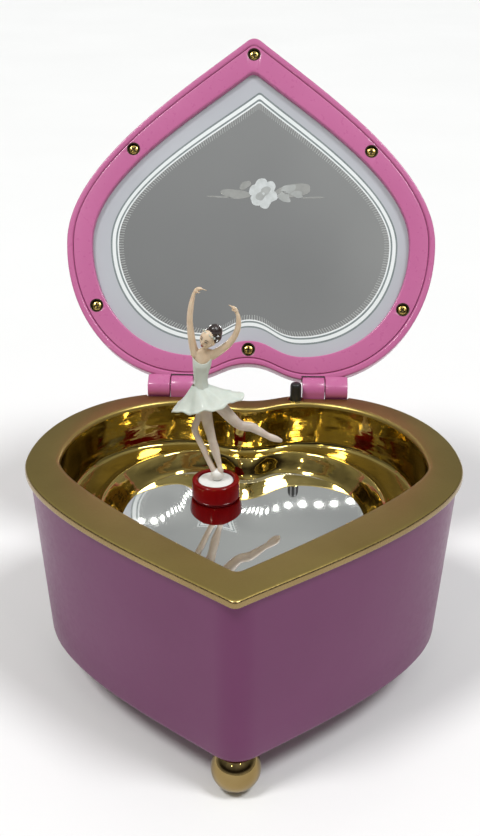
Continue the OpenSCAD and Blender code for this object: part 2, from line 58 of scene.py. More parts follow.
PLACE = Matrix.Scale(MM, 4) @ Matrix.Translation((0, HEART_Y, 0))

LID_JOINT = next(j for j in frame["joints"] if j["name"] == "lid_hinge")
HINGE = Vector(LID_JOINT["pos_m"]) / MM - Vector((0, HEART_Y, 0))
LID_OPEN = radians(LID_JOINT["range_deg"][1])
LID_PLACE = (PLACE @ Matrix.Translation(HINGE) @ Matrix.Rotation(-LID_OPEN, 4, "X")
             @ Matrix.Translation(-HINGE))
LID_Z = TOP + 0.4
LID_SHARE = 0.96

CUP_LO, CUP_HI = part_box("dancer_cup")
MIRROR_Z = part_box("floor_mirror")[1].z / MM
CUP_AT = Vector(((CUP_LO.x + CUP_HI.x) / 2 / MM, (CUP_LO.y + CUP_HI.y) / 2 / MM - HEART_Y, MIRROR_Z))
CUP_PLACE = PLACE @ Matrix.Translation(CUP_AT)


def add_object(name, data):
    thing = bpy.data.objects.new(name, data)
    bpy.context.scene.collection.objects.link(thing)
    return thing


# ---------------------------------------------------------------- materials

def object_noise(tree, scale, detail=3.0, stretch=None, roughness=0.5):
    """A noise texture on object coordinates, in features per metre."""
    nodes, links = tree.nodes, tree.links
    where = nodes.new("ShaderNodeTexCoord").outputs["Object"]
    if stretch:
        mapping = nodes.new("ShaderNodeMapping")
        mapping.inputs["Scale"].default_value = stretch
        links.new(where, mapping.inputs["Vector"])
        where = mapping.outputs["Vector"]
    texture = nodes.new("ShaderNodeTexNoise")
    texture.inputs["Scale"].default_value = scale
    texture.inputs["Detail"].default_value = detail
    texture.inputs["Roughness"].default_value = roughness
    links.new(where, texture.inputs["Vector"])
    return texture.outputs["Fac"]


def mapped(tree, value, low, high, start=0.3, end=0.7):
    node = tree.nodes.new("ShaderNodeMapRange")
    for name, number in (("From Min", start), ("From Max", end), ("To Min", low), ("To Max", high)):
        node.inputs[name].default_value = number
    tree.links.new(value, node.inputs["Value"])
    return node.outputs["Result"]


def mixed(tree, factor, a, b):
    node = tree.nodes.new("ShaderNodeMix")
    node.data_type = "RGBA"
    tree.links.new(factor, node.inputs["Factor"])
    for socket, value in ((node.inputs[6], a), (node.inputs[7], b)):
        if isinstance(value, tuple):
            socket.default_value = (*value, 1)
        else:
            tree.links.new(value, socket)
    return node.outputs[2]


FINISH = {}


def surface(name, low, high, rough=(0.2, 0.3), metallic=0.0, coat=0.0, mottle=45, grain=900,
            stretch=None, bumps=(), specular=0.5, wear=None, subsurface=0.0):
    """Adds a finish: two colours mottled together, uneven roughness and layers of bump.

    bumps is (features per metre, height in metres, stretch if any) for each layer; wear is
    (colour, amount) for pale or dark flecks."""
    material = FINISH[name] = bpy.data.materials.new(name)
    material.use_nodes = True
    tree = material.node_tree
    shader = tree.nodes["Principled BSDF"]
    colour = mixed(tree, mapped(tree, object_noise(tree, mottle, 4), 0, 1), low, high)
    if wear:
        flecks = mapped(tree, object_noise(tree, grain * 1.7, 6, None, 0.7), 0, wear[1], 0.60, 0.74)
        colour = mixed(tree, flecks, colour, wear[0])
    tree.links.new(colour, shader.inputs["Base Color"])
    tree.links.new(mapped(tree, object_noise(tree, grain, 5, stretch), *rough), shader.inputs["Roughness"])
    shader.inputs["Metallic"].default_value = metallic
    shader.inputs["Specular IOR Level"].default_value = specular
    shader.inputs["Coat Weight"].default_value = coat
    shader.inputs["Coat Roughness"].default_value = 0.06
    if subsurface:
        shader.inputs["Subsurface Weight"].default_value = subsurface
        shader.inputs["Subsurface Radius"].default_value = (0.0012, 0.0007, 0.0005)
        shader.inputs["Subsurface Scale"].default_value = 1.0
    normal = None
    for scale, height, *pull in bumps:
        bump = tree.nodes.new("ShaderNodeBump")
        bump.inputs["Strength"].default_value = 1.0
        bump.inputs["Distance"].default_value = height
        tree.links.new(object_noise(tree, scale, 2, *pull), bump.inputs["Height"])
        if normal:
            tree.links.new(normal, bump.inputs["Normal"])
        normal = bump.outputs["Normal"]
    if normal:
        tree.links.new(normal, shader.inputs["Normal"])
    return material


# The box is the same pink plastic as the lid; pink_body is that pink made much darker, as painted shade for the box's
# walls
surface("pink_body", (0.152, 0.037, 0.108), (0.170, 0.044, 0.123), (0.30, 0.38), coat=0.04, mottle=22,
        grain=600, bumps=[(70, 0.00007), (2600, 0.000003)], wear=((0.17, 0.055, 0.125), 0.10), specular=0.2)
surface("pink_lid", (0.47, 0.115, 0.275), (0.51, 0.135, 0.305), (0.26, 0.34), coat=0.25, mottle=25, grain=600,
        bumps=[(60, 0.00007), (2600, 0.000003)], wear=((0.53, 0.17, 0.34), 0.10), specular=0.4)
surface("gilt_rim", (0.40, 0.295, 0.088), (0.47, 0.355, 0.112), (0.30, 0.40), metallic=1, mottle=40, grain=1400,
        bumps=[(60, 0.00012), (3000, 0.000004)], wear=((0.34, 0.24, 0.07), 0.25))
# A darker copy of the rim's gilt for the rim's outer edge: painted shade, to darken what that edge reflects
surface("shaded_gilt_edge", (0.27, 0.19, 0.085), (0.34, 0.24, 0.11), (0.22, 0.32), metallic=1, mottle=50, grain=1400,
        bumps=[(90, 0.00012), (3000, 0.000004)], wear=((0.50, 0.36, 0.18), 0.25))
surface("gilt_bright", (0.44, 0.33, 0.10), (0.54, 0.41, 0.13), (0.05, 0.10), metallic=1, mottle=60, grain=700,
        bumps=[(34, 0.0010, (1, 1, 2.6)), (150, 0.00010, (1, 1, 2))], wear=((0.34, 0.24, 0.07), 0.2))
surface("gilt_ball", (0.28, 0.195, 0.075), (0.36, 0.26, 0.11), (0.04, 0.10), metallic=1, mottle=80, grain=900,
        bumps=[(200, 0.00008)], wear=((0.18, 0.12, 0.045), 0.2))
surface("looking_glass", (0.80, 0.81, 0.80), (0.84, 0.85, 0.84), (0.015, 0.03), metallic=1, mottle=30,
        grain=300, bumps=[(30, 0.00002)], wear=((0.72, 0.73, 0.74), 0.10))
surface("lid_glass", (0.74, 0.745, 0.74), (0.78, 0.785, 0.775), (0.03, 0.06), metallic=1, mottle=22, grain=300,
        bumps=[(22, 0.00003)], wear=((0.68, 0.69, 0.69), 0.12))
surface("print_white", (0.44, 0.455, 0.495), (0.48, 0.495, 0.535), (0.10, 0.18), coat=0.6, mottle=30,
        grain=1200, wear=((0.42, 0.435, 0.47), 0.25))
surface("print_band", (0.74, 0.78, 0.79), (0.80, 0.83, 0.84), (0.10, 0.18), coat=0.6, mottle=40, grain=1200,
        wear=((0.66, 0.70, 0.72), 0.25))
surface("print_line", (0.17, 0.205, 0.21), (0.23, 0.265, 0.27), (0.2, 0.3), coat=0.6, mottle=200, grain=1800,
        wear=((0.34, 0.38, 0.39), 0.3))
surface("print_lace", (0.33, 0.345, 0.34), (0.42, 0.435, 0.43), (0.15, 0.25), coat=0.6, mottle=300, grain=1800,
        wear=((0.26, 0.27, 0.27), 0.4))
surface("print_petal", (0.50, 0.53, 0.53), (0.62, 0.65, 0.66), (0.15, 0.25), coat=0.6, mottle=500, grain=1800,
        wear=((0.42, 0.45, 0.45), 0.4))
surface("print_leaf", (0.28, 0.285, 0.275), (0.33, 0.335, 0.325), (0.15, 0.25), coat=0.6, mottle=300,
        grain=1500, wear=((0.36, 0.37, 0.36), 0.4))
surface("brass", (0.60, 0.43, 0.15), (0.72, 0.54, 0.22), (0.16, 0.32), metallic=1, mottle=150, grain=1600,
        stretch=(1, 6, 1), bumps=[(1800, 0.000006, (1, 5, 1))], wear=((0.35, 0.24, 0.10), 0.35))
surface("screw_brass", (0.50, 0.36, 0.10), (0.62, 0.46, 0.15), (0.18, 0.30), metallic=1, mottle=400, grain=2400,
        bumps=[(2200, 0.00001)], wear=((0.20, 0.12, 0.04), 0.5))
surface("steel", (0.50, 0.50, 0.52), (0.62, 0.62, 0.64), (0.20, 0.34), metallic=1, mottle=120, grain=1600,
        stretch=(6, 1, 1), bumps=[(2000, 0.000006, (5, 1, 1))], wear=((0.34, 0.33, 0.33), 0.3))
surface("zinc", (0.46, 0.46, 0.45), (0.55, 0.55, 0.54), (0.40, 0.55), metallic=1, mottle=180, grain=2200,
        bumps=[(1500, 0.00002)], wear=((0.34, 0.34, 0.33), 0.4))
surface("black_plastic", (0.006, 0.006, 0.006), (0.014, 0.014, 0.014), (0.30, 0.45), mottle=400, grain=2400,
        bumps=[(2500, 0.000008)], wear=((0.05, 0.05, 0.05), 0.4))
surface("red_cup", (0.15, 0.0006, 0.0015), (0.19, 0.001, 0.002), (0.10, 0.18), coat=0.06, mottle=160,
        grain=1500, bumps=[(300, 0.00001)], wear=((0.24, 0.004, 0.008), 0.2), specular=0.12)
surface("figure_skin", (0.62, 0.46, 0.31), (0.72, 0.57, 0.41), (0.34, 0.46), coat=0.15, mottle=320, grain=2200,
        subsurface=0.12, bumps=[(1400, 0.00001)], wear=((0.80, 0.70, 0.56), 0.5))
surface("figure_tights", (0.60, 0.50, 0.43), (0.69, 0.60, 0.53), (0.34, 0.46), coat=0.15, mottle=320,
        grain=2200, subsurface=0.12, bumps=[(1400, 0.00001)], wear=((0.80, 0.74, 0.68), 0.4))
surface("figure_dress", (0.52, 0.565, 0.51), (0.60, 0.645, 0.59), (0.40, 0.52), coat=0.1, mottle=320,
        grain=2200, subsurface=0.12, bumps=[(1500, 0.000012)], wear=((0.72, 0.74, 0.70), 0.4))
# A dark brown metal for the screws' cross slots and the holes round the screws: painted shade in these hollows
surface("recess_shade", (0.035, 0.024, 0.012), (0.065, 0.045, 0.022), (0.35, 0.5), metallic=0.6, mottle=500,
        grain=2400, wear=((0.16, 0.11, 0.05), 0.4))
surface("figure_hair", (0.016, 0.010, 0.009), (0.035, 0.020, 0.017), (0.30, 0.42), coat=0.25, mottle=500,
        grain=2400, stretch=(1, 1, 4), bumps=[(1600, 0.00003, (1, 1, 0.3))], wear=((0.09, 0.055, 0.045), 0.4))
surface("figure_paint", (0.30, 0.035, 0.035), (0.38, 0.06, 0.05), (0.3, 0.4), mottle=900, grain=3000,
        wear=((0.46, 0.10, 0.09), 0.4))
surface("white_plastic", (0.68, 0.68, 0.66), (0.76, 0.76, 0.74), (0.34, 0.46), coat=0.1, mottle=260, grain=1800,
        bumps=[(1200, 0.00001)], wear=((0.60, 0.60, 0.58), 0.3))
surface("felt", (0.20, 0.012, 0.022), (0.30, 0.025, 0.040), (0.85, 0.98), mottle=900, grain=2600,
        bumps=[(3200, 0.00012)], wear=((0.40, 0.08, 0.09), 0.5), specular=0.2)
surface("magnet", (0.42, 0.42, 0.43), (0.52, 0.52, 0.53), (0.18, 0.30), metallic=1, mottle=200, grain=1600,
        bumps=[(1500, 0.000008)], wear=((0.30, 0.30, 0.31), 0.4))
surface("base_plastic", (0.20, 0.065, 0.14), (0.25, 0.09, 0.18), (0.42, 0.56), mottle=90, grain=1500,
        bumps=[(2200, 0.00003)], wear=((0.32, 0.15, 0.25), 0.3))


# Where the glass starts to curl, in heart y; its curvature per metre; and how far the start
# is put back in line with the cup, and over what half width
CURL_Y, CURL, CUP_DELAY, CUP_SPREAD = -13, 4.36, 12, 8.5


def warp_mirror(material):
    """Lets the glass curl up a little towards the back, in its reflections only."""
    tree = material.node_tree
    nodes, links = tree.nodes, tree.links
    shader = nodes["Principled BSDF"]
    split = nodes.new("ShaderNodeSeparateXYZ")
    links.new(nodes.new("ShaderNodeTexCoord").outputs["Object"], split.inputs[0])

    def math_node(operation, a, b):
        node = nodes.new("ShaderNodeMath")
        node.operation = operation
        for socket, value in zip(node.inputs, (a, b)):
            if isinstance(value, float):
                socket.default_value = value
            else:
                links.new(value, socket)
        return node.outputs[0]

    # The curl starts at CURL_Y, but further back in line with the cup, so that the glass
    # is level where it shows the cup
    aside = math_node("MULTIPLY", math_node("SUBTRACT", split.outputs["X"], CUP_AT[0] * MM), 1 / (CUP_SPREAD * MM))
    aside = math_node("POWER", math_node("ABSOLUTE", aside, 0.0), 2.0)
    start = math_node("MULTIPLY", math_node("POWER", math.e, math_node("MULTIPLY", aside, -1.0)), CUP_DELAY * MM)
    reach = math_node("SUBTRACT", math_node("SUBTRACT", split.outputs["Y"], (HEART_Y + CURL_Y) * MM), start)
    reach = math_node("MAXIMUM", reach, 0.0)
    curl = math_node("MULTIPLY", math_node("MULTIPLY", reach, reach), 0.5 * CURL)
    bump = nodes.new("ShaderNodeBump")
    bump.inputs["Distance"].default_value = 1.0
    links.new(curl, bump.inputs["Height"])
    links.new(shader.inputs["Normal"].links[0].from_socket, bump.inputs["Normal"])
    links.new(bump.outputs["Normal"], shader.inputs["Normal"])


warp_mirror(FINISH["looking_glass"])
FINISH["gilt"] = FINISH["gilt_rim"]
FINISH["printed_glass"] = FINISH["lid_glass"]
FINISH["figure_resin"] = FINISH["figure_skin"]


# ---------------------------------------------------------------- mesh helpers

def bezier(a, b, c, d, t):
    s = 1 - t
    return a * s ** 3 + b * 3 * s * s * t + c * 3 * s * t * t + d * t ** 3


def half_heart(width, tip, lobe, cleft, belly=0.38, steps=60):
    """Right half of the heart, from its point round the lobe to the cleft."""
    p, q = Vector((0, -tip)), Vector((width / 2, 0))
    r, k = Vector((LOBE_X * width / WIDTH, lobe)), Vector((0, cleft))
    side = Vector((cos(TIP_SLOPE), sin(TIP_SLOPE)))
    parts = [
        (p, p + side * tip * 0.36, q - Vector((0, tip * belly)), q),
        (q, q + Vector((0, lobe * 0.56)), r + Vector((width * 0.19, 0)), r),
        (r, r - Vector((width * 0.08, 0)), k + Vector((width * 0.07, 0)), k),
    ]
    points = [bezier(*part, i / steps) for part in parts for i in range(steps)]
    return points + [k]


def heart(inset=(0, 0, 0), share=1.0, fillet=2.5, corner=6, count=104, belly=0.38):
    """A heart ring inset by widths at its sides, point and back, with its point rounded.

    Rings with other insets have matching points, so they can be joined face by face."""
    side, point, back = inset
    half = half_heart((WIDTH - 2 * side) * share, (TIP - point) * share,
                      (LOBE_Y - back) * share, (CLEFT - back) * share, belly)
    lengths = [0.0]
    for a, b in zip(half, half[1:]):
        lengths.append(lengths[-1] + (b - a).length)

    def along(distance):
        for i in range(1, len(half)):
            if lengths[i] >= distance:
                t = (distance - lengths[i - 1]) / max(lengths[i] - lengths[i - 1], 1e-9)
                return half[i - 1].lerp(half[i], t)
        return half[-1]

    edge = along(fillet)
    mirrored = Vector((-edge.x, edge.y))
    ring = []
    for i in range(corner):
        u = 0.5 + 0.5 * i / corner
        ring.append(mirrored * (1 - u) ** 2 + half[0] * 2 * u * (1 - u) + edge * u * u)
    total = lengths[-1]
    ring += [along(fillet + (total - fillet) * i / count) for i in range(count + 1)]
    ring[0].x = 0
    ring[-1].x = 0
    return ring + [Vector((-v.x, v.y)) for v in ring[-2:0:-1]]


def level(ring, z):
    return [Vector((v.x, v.y, z)) for v in ring]


def rounded(path, steps=5):
    """A path of (numbers, radius) with each corner rounded to about its radius.

    The first number and the last are the ones that lengths are measured in."""
    points = [Vector(p) for p, _ in path]

    def span(a, b):
        return max(hypot(b[0] - a[0], b[-1] - a[-1]), 1e-6)

    out = [points[0]]
    for i in range(1, len(path) - 1):
        radius = path[i][1]
        before, here, after = points[i - 1], points[i], points[i + 1]
        if not radius:
            out.append(here)
            continue
        a = here.lerp(before, min(0.49, radius / span(here, before)))
        b = here.lerp(after, min(0.49, radius / span(here, after)))
        for s in range(steps + 1):
            t = s / steps
            out.append(a * (1 - t) ** 2 + here * 2 * t * (1 - t) + b * t * t)
    return out + [points[-1]]


def loft(bm, rings, cap_start=True, cap_end=True, closed=False, finish=None):
    """Faces between rings that have the same number of points; finish gives each band's slot."""
    rows = [[bm.verts.new(p) for p in ring] for ring in rings]
    pairs = list(zip(rows, rows[1:])) + ([(rows[-1], rows[0])] if closed else [])
    count = len(rows[0])
    for band, (a, b) in enumerate(pairs):
        for i in range(count):
            j = (i + 1) % count
            face = bm.faces.new((a[i], a[j], b[j], b[i]))
            face.material_index = finish[band] if finish else 0
    if not closed:
        if cap_start:
            bm.faces.new(rows[0][::-1]).material_index = finish[0] if finish else 0
        if cap_end:
            bm.faces.new(rows[-1]).material_index = finish[-1] if finish else 0
    return rows


def heart_loft(bm, path, share=1.0, fillet=2.5, finish=None):
    """A heart-shaped solid from a path of (side, point, back, z)."""
    return loft(bm, [level(heart(p[:3], share, fillet), p[3]) for p in path], finish=finish)


def lathe(bm, profile, at=(0, 0, 0), turn=None, steps=64, finish=0):
    """A closed solid of revolution about Z from (radius, height) points."""
    place = Matrix.Translation(at) @ (turn.to_4x4() if turn else Matrix.Identity(4))
    rows = []
    for r, z in profile:
        if r < 1e-6:
            rows.append([bm.verts.new(place @ Vector((0, 0, z)))])
        else:
            rows.append([bm.verts.new(place @ Vector((r * cos(2 * pi * i / steps),
                                                      r * sin(2 * pi * i / steps), z)))
                         for i in range(steps)])
    for a, b in zip(rows, rows[1:]):
        for i in range(steps):
            j = (i + 1) % steps
            if len(a) == 1 and len(b) == 1:
                continue
            if len(a) == 1:
                face = bm.faces.new((a[0], b[j], b[i]))
            elif len(b) == 1:
                face = bm.faces.new((a[i], a[j], b[0]))
            else:
                face = bm.faces.new((a[i], a[j], b[j], b[i]))
            face.material_index = finish


def smooth_path(points, samples):
    """A Catmull-Rom curve through points of any size, as that many samples."""
    points = [Vector(p) for p in points]
    full = [points[0] * 2 - points[1]] + points + [points[-1] * 2 - points[-2]]
    out = []
    for s in range(samples):
        x = s / (samples - 1) * (len(points) - 1)
        i = min(int(x), len(points) - 2)
        t = x - i
        a, b, c, d = full[i:i + 4]
        out.append(0.5 * (b * 2 + (c - a) * t + (a * 2 - b * 5 + c * 4 - d) * t * t
                          + (b * 3 - a - c * 3 + d) * t ** 3))
    return out


def limb(bm, points, samples=24, steps=18, finish=0, ends=4):
    """A smooth limb with round ends through (x, y, z, half width, half depth) points."""
    path = smooth_path(points, samples)
    centres = [Vector(p[:3]) for p in path]
    rings = []

    def ring(centre, tangent, wide, deep):
        depth = Vector((0, 1, 0)) - tangent * tangent.y
        if depth.length < 1e-3:
            depth = Vector((1, 0, 0))
        depth.normalize()
        across = tangent.cross(depth)
        return [centre + across * (wide * cos(2 * pi * k / steps))
                + depth * (deep * sin(2 * pi * k / steps)) for k in range(steps)]

    for i, p in enumerate(path):
        tangent = (centres[min(i + 1, samples - 1)] - centres[max(i - 1, 0)]).normalized()
        if i == 0:
            for e in range(ends, 0, -1):
                angle = pi / 2 * e / (ends + 0.4)
                rings.append(ring(centres[0] - tangent * p[3] * sin(angle), tangent,
                                  p[3] * cos(angle), p[4] * cos(angle)))
        rings.append(ring(centres[i], tangent, p[3], p[4]))
        if i == samples - 1:
            for e in range(1, ends + 1):
                angle = pi / 2 * e / (ends + 0.4)
                rings.append(ring(centres[i] + tangent * p[3] * sin(angle), tangent,
                                  p[3] * cos(angle), p[4] * cos(angle)))
    loft(bm, rings, finish=[finish] * (len(rings) - 1))


def ball(bm, at, size, turn=None, finish=0, steps=32, shape=None):
    """An egg with the given half sizes; shape may move each of its points."""
    place = Matrix.Translation(at) @ (turn.to_4x4() if turn else Matrix.Identity(4))
    rings = []
    rows = steps // 2
    for j in range(1, rows):
        lat = pi * j / rows - pi / 2
        ring = []
        for i in range(steps):
            lon = 2 * pi * i / steps
            p = Vector((size[0] * cos(lat) * cos(lon),
                        size[1] * cos(lat) * sin(lon), size[2] * sin(lat)))
            ring.append(place @ (shape(p) if shape else p))
        rings.append(ring)
    loft(bm, rings, finish=[finish] * (len(rings) - 1))


def mark_edges(mesh, angle):
    """Smooth shading, with a crease wherever two faces meet at more than the angle."""
    bm = bmesh.new()
    bm.from_mesh(mesh)
    for face in bm.faces:
        face.smooth = True
    for edge in bm.edges:
        edge.smooth = len(edge.link_faces) == 2 and edge.calc_face_angle(0) < radians(angle)
    bm.to_mesh(mesh)
    bm.free()


def piece(name, bm, finishes, body, slot, stands_for=(), place=PLACE, crease=32, cutters=(), voxel=0):
    """Turns a bmesh in millimetres into a named piece that rides on a body."""
    bmesh.ops.recalc_face_normals(bm, faces=bm.faces)
    bm.transform(place)
    if place.determinant() < 0:
        bmesh.ops.reverse_faces(bm, faces=bm.faces)
    mesh = bpy.data.meshes.new(name)
    bm.to_mesh(mesh)
    bm.free()
    thing = add_object(name, mesh)
    for finish in finishes:
        mesh.materials.append(FINISH[finish])
    extras = []
    for i, cutter in enumerate(cutters):
        bmesh.ops.recalc_face_normals(cutter, faces=cutter.faces)
        cutter.transform(place)
        other = bpy.data.meshes.new(f"{name}_cut{i}")
        cutter.to_mesh(other)
        cutter.free()
        for finish in finishes:
            other.materials.append(FINISH[finish])
        tool = add_object(f"{name}_cut{i}", other)
        modifier = thing.modifiers.new(f"cut{i}", "BOOLEAN")
        modifier.operation = "DIFFERENCE"
        modifier.solver = "EXACT"
        modifier.object = tool
        extras.append(tool)
    if voxel:
        modifier = thing.modifiers.new("merge", "REMESH")
        modifier.mode = "VOXEL"
        modifier.voxel_size = voxel * MM
        modifier.use_smooth_shade = True
        smoother = thing.modifiers.new("soften", "SMOOTH")
        smoother.factor = 0.5
        smoother.iterations = 2
    if thing.modifiers:
        bpy.context.view_layer.update()
        done = bpy.data.meshes.new_from_object(thing.evaluated_get(bpy.context.evaluated_depsgraph_get()))
        thing.modifiers.clear()
        thing.data = done
        done.name = name
        for tool in extras:
            bpy.data.objects.remove(tool)
    mark_edges(thing.data, crease)
    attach(thing, body)
    if stands_for:
        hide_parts(*stands_for)
    return thing


def block(bm, lo, hi, bevel=0.0):
    """A box between two corners, with rounded edges."""
    made = bmesh.ops.create_cube(bm, size=1, matrix=Matrix.Translation((Vector(lo) + Vector(hi)) / 2)
                                 @ Matrix.Diagonal((*(Vector(hi) - Vector(lo)), 1)))
    if bevel:
        edges = list({e for v in made["verts"] for e in v.link_edges})
        bmesh.ops.bevel(bm, geom=edges, offset=bevel, segments=3, affect="EDGES")


def along_x(profile, x0, x1, bm, bevel=0.4):
    """A solid between x0 and x1 from a (y, z) outline, with its end edges rounded."""
    centre = Vector((sum(p[0] for p in profile), sum(p[1] for p in profile))) / len(profile)

    def shrunk(by):
        return [centre + (Vector(p) - centre) * (1 - by / max((Vector(p) - centre).length, 1)) for p in profile]

    rings = []
    for x, by in ((x0, bevel), (x0 + bevel * 0.3, bevel * 0.3), (x0 + bevel, 0),
                  (x1 - bevel, 0), (x1 - bevel * 0.3, bevel * 0.3), (x1, bevel)):
        rings.append([Vector((x, p[0], p[1])) for p in shrunk(by)])
    loft(bm, rings)


# ---------------------------------------------------------------- the box

BODY_Z, WALL = 13, 2.2
RIM_T, SKIRT = 1.5, 0.8
BODY_TOP = TOP - RIM_T
KNUCKLE_R, KNUCKLE_IN, KNUCKLE_MID, KNUCKLE_OUT = 3.9, 18.2, 25.7, 33.2
STOP_AT = (16, 45.2)


def body_share(z):
    return 0.92 + 0.06 * (z - BODY_Z) / (BODY_TOP - BODY_Z)


def tapered(z, inset):
    share = body_share(z)
    return level(heart((inset, inset * 1.3, inset), share, 7.5), z)


def knuckle_outline(drop, back):
    """A knuckle's outline in (y, z) with a foot that reaches down to the box or the lid."""
    points = []
    for i in range(25):
        angle = radians(-10 + 200 * i / 24)
        points.append((HINGE.y + KNUCKLE_R * cos(angle), HINGE.z + KNUCKLE_R * sin(angle)))
    return points + [(back, drop), (HINGE.y + KNUCKLE_R * 0.96, drop)]


def hinge_room(bm, x0, x1, radius):
    for side in (-1, 1):
        lathe(bm, [(0, min(side * x0, side * x1)), (radius, min(side * x0, side * x1)),
                   (radius, max(side * x0, side * x1)), (0, max(side * x0, side * x1))],
              (0, HINGE.y, HINGE.z), Matrix.Rotation(pi / 2, 3, "Y"), 40)


def build_body():
    bm = bmesh.new()
    rings = [tapered(BODY_Z, WALL - 0.3), tapered(BODY_Z, 2.0), tapered(BODY_Z + 0.15, 1.2),
             tapered(BODY_Z + 0.55, 0.55), tapered(BODY_Z + 1.2, 0.15), tapered(BODY_Z + 2.2, 0)]
    rings += [tapered(BODY_Z + 2.2 + (BODY_TOP - BODY_Z - 2.2) * i / 8, 0) for i in range(1, 9)]
    rings += [tapered(BODY_TOP - (BODY_TOP - BODY_Z) * i / 4, WALL) for i in range(5)]
    loft(bm, rings, closed=True)
    wall_faces = len(bm.faces)
    for side in (-1, 1):
        x0, x1 = sorted((side * KNUCKLE_IN, side * (KNUCKLE_MID - 0.15)))
        along_x(knuckle_outline(BODY_TOP - 13, HINGE.y - 4.6), x0, x1, bm)
    # The knuckles keep the lid's true pink; the walls keep the darker pink, which is painted shade
    for face in list(bm.faces)[wall_faces:]:
        face.material_index = 1
    for x, y in ((-46, 4), (46, 4), (-22, -37), (22, -37)):
        lathe(bm, [(1.3, 17.2), (3.5, 17.2), (3.5, 29), (1.3, 29), (1.3, 17.2)], (x, y, 0), steps=32)
    cut = bmesh.new()
    hinge_room(cut, KNUCKLE_MID - 0.05, KNUCKLE_OUT + 0.3, KNUCKLE_R + 0.4)
    lathe(cut, [(0, TOP - 8), (2.1, TOP - 8), (2.1, TOP + 1), (0, TOP + 1)], (*STOP_AT, 0), steps=32)
    return piece("body", bm, ["pink_body", "pink_lid"], "box", "pink_body", ["body_shell"], cutters=[cut])


def build_tray():
    hug, full = 0.22, 0.38
    path = rounded([
        ((27.8, 36.6, 17.6, full, TOP - 22), 0), ((27.8, 36.6, 17.6, full, TOP - 20.4), 0),
        ((26.9, 35.2, 16.8, full, TOP - 19.6), 0.9), ((24.2, 31.4, 15.1, full, TOP - 16.2), 1.2),
        ((22.4, 29.2, 14.0, full, TOP - 14.55), 0.8), ((21.2, 27.6, 13.2, 0.36, TOP - 14.55), 0.7),
        ((19.8, 26.0, 12.4, 0.34, TOP - 15.3), 0.9), ((11.5, 16.8, 8.9, hug, TOP - 14.3), 2.0),
        ((10.1, 14.6, 7.1, hug, TOP), 1.3), ((0, 0, 0, full, TOP), 0.9),
        ((0, 0, 0, full, TOP - RIM_T - SKIRT), 0.5), ((1, 1.3, 1, full, TOP - RIM_T - SKIRT), 0.2),
        ((1, 1.3, 1, full, TOP - RIM_T), 0), ((8.4, 12.3, 5.4, hug, TOP - RIM_T), 0),
        ((9.9, 14.4, 7.3, hug, TOP - 16.1), 0), ((21.4, 27.8, 12.2, full, TOP - 16.7), 0),
        ((21.4, 27.8, 12.2, full, TOP - 23.6), 0)], 6)
    rings = [level(heart(p[:3], 1, 2.2, belly=p[3]), p[4]) for p in path]
    # The finish changes from bright to satin as the wall turns over into the rim, and to
    # a darker gilt down its outer edge, which is painted shade to darken what that edge reflects
    bright, satin, edge = range(3)
    finish = []
    for a, b in zip(path, path[1:]):
        inset, low = max(a[0], b[0]), min(a[4], b[4])
        if inset >= 10.3 or low <= TOP - RIM_T - SKIRT - 0.1:
            finish.append(bright)
        else:
            finish.append(edge if inset < 0.3 and low < TOP - 0.2 else satin)
    bm = bmesh.new()
    loft(bm, rings, finish=finish)
    cut = bmesh.new()
    for side in (-1, 1):
        x0, x1 = sorted((side * (KNUCKLE_IN - 0.3), side * (KNUCKLE_OUT + 0.3)))
        block(cut, (x0, HINGE.y - KNUCKLE_R - 0.45, TOP - 4), (x1, HINGE.y + 9, TOP + 2), 0.5)
    lathe(cut, [(0, TOP - 7.2), (1.97, TOP - 7.2), (1.97, TOP - 0.25), (2.3, TOP + 0.1),
                (2.3, TOP + 1), (0, TOP + 1)], (*STOP_AT, 0), steps=40)
    return piece("tray", bm, ["gilt_bright", "gilt_rim", "shaded_gilt_edge"], "box", "gilt", ["tray"],
                 cutters=[cut], crease=28)


def build_floor_mirror():
    bm = bmesh.new()
    path = [(26.9, 35.5, 16.9, MIRROR_Z - 1.5), (26.65, 35.2, 16.65, MIRROR_Z - 1.3),
            (26.65, 35.2, 16.65, MIRROR_Z - 0.35), (27.0, 35.7, 17.0, MIRROR_Z)]
    heart_loft(bm, path, 1, 2.2)
    return piece("floor_mirror_glass", bm, ["looking_glass"], "box", "looking_glass", ["floor_mirror"])


def build_feet():
    profile = [(0, 0.05), (2.2, 0)]
    for i in range(1, 29):
        angle = radians(-90 + 18 + (180 - 18 - 30) * i / 28)
        profile.append((7 * cos(angle), 6.85 + 7 * sin(angle)))
    profile += [(3.4, 13.1), (3.4, 13.6), (4.3, 13.9), (4.3, 14.6), (3.9, 15.0), (2, 15.0), (2, 20.5), (0, 20.5)]
    for number, (x, y) in enumerate(((0, -61), (-45, 24), (45, 24)), 1):
        bm = bmesh.new()
        lathe(bm, profile, (x, y, 0), steps=72)
        foot = piece(f"foot_{number}", bm, ["gilt_ball"], "box", "gilt", crease=40)
        if number == 1:
            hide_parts("feet")


# ---------------------------------------------------------------- the lid

LID_H = 11
SCREWS = [(0, -66), (-40.7, -31.8), (40.7, -31.8), (-51.5, 23), (51.5, 23), (0, 37.3)]


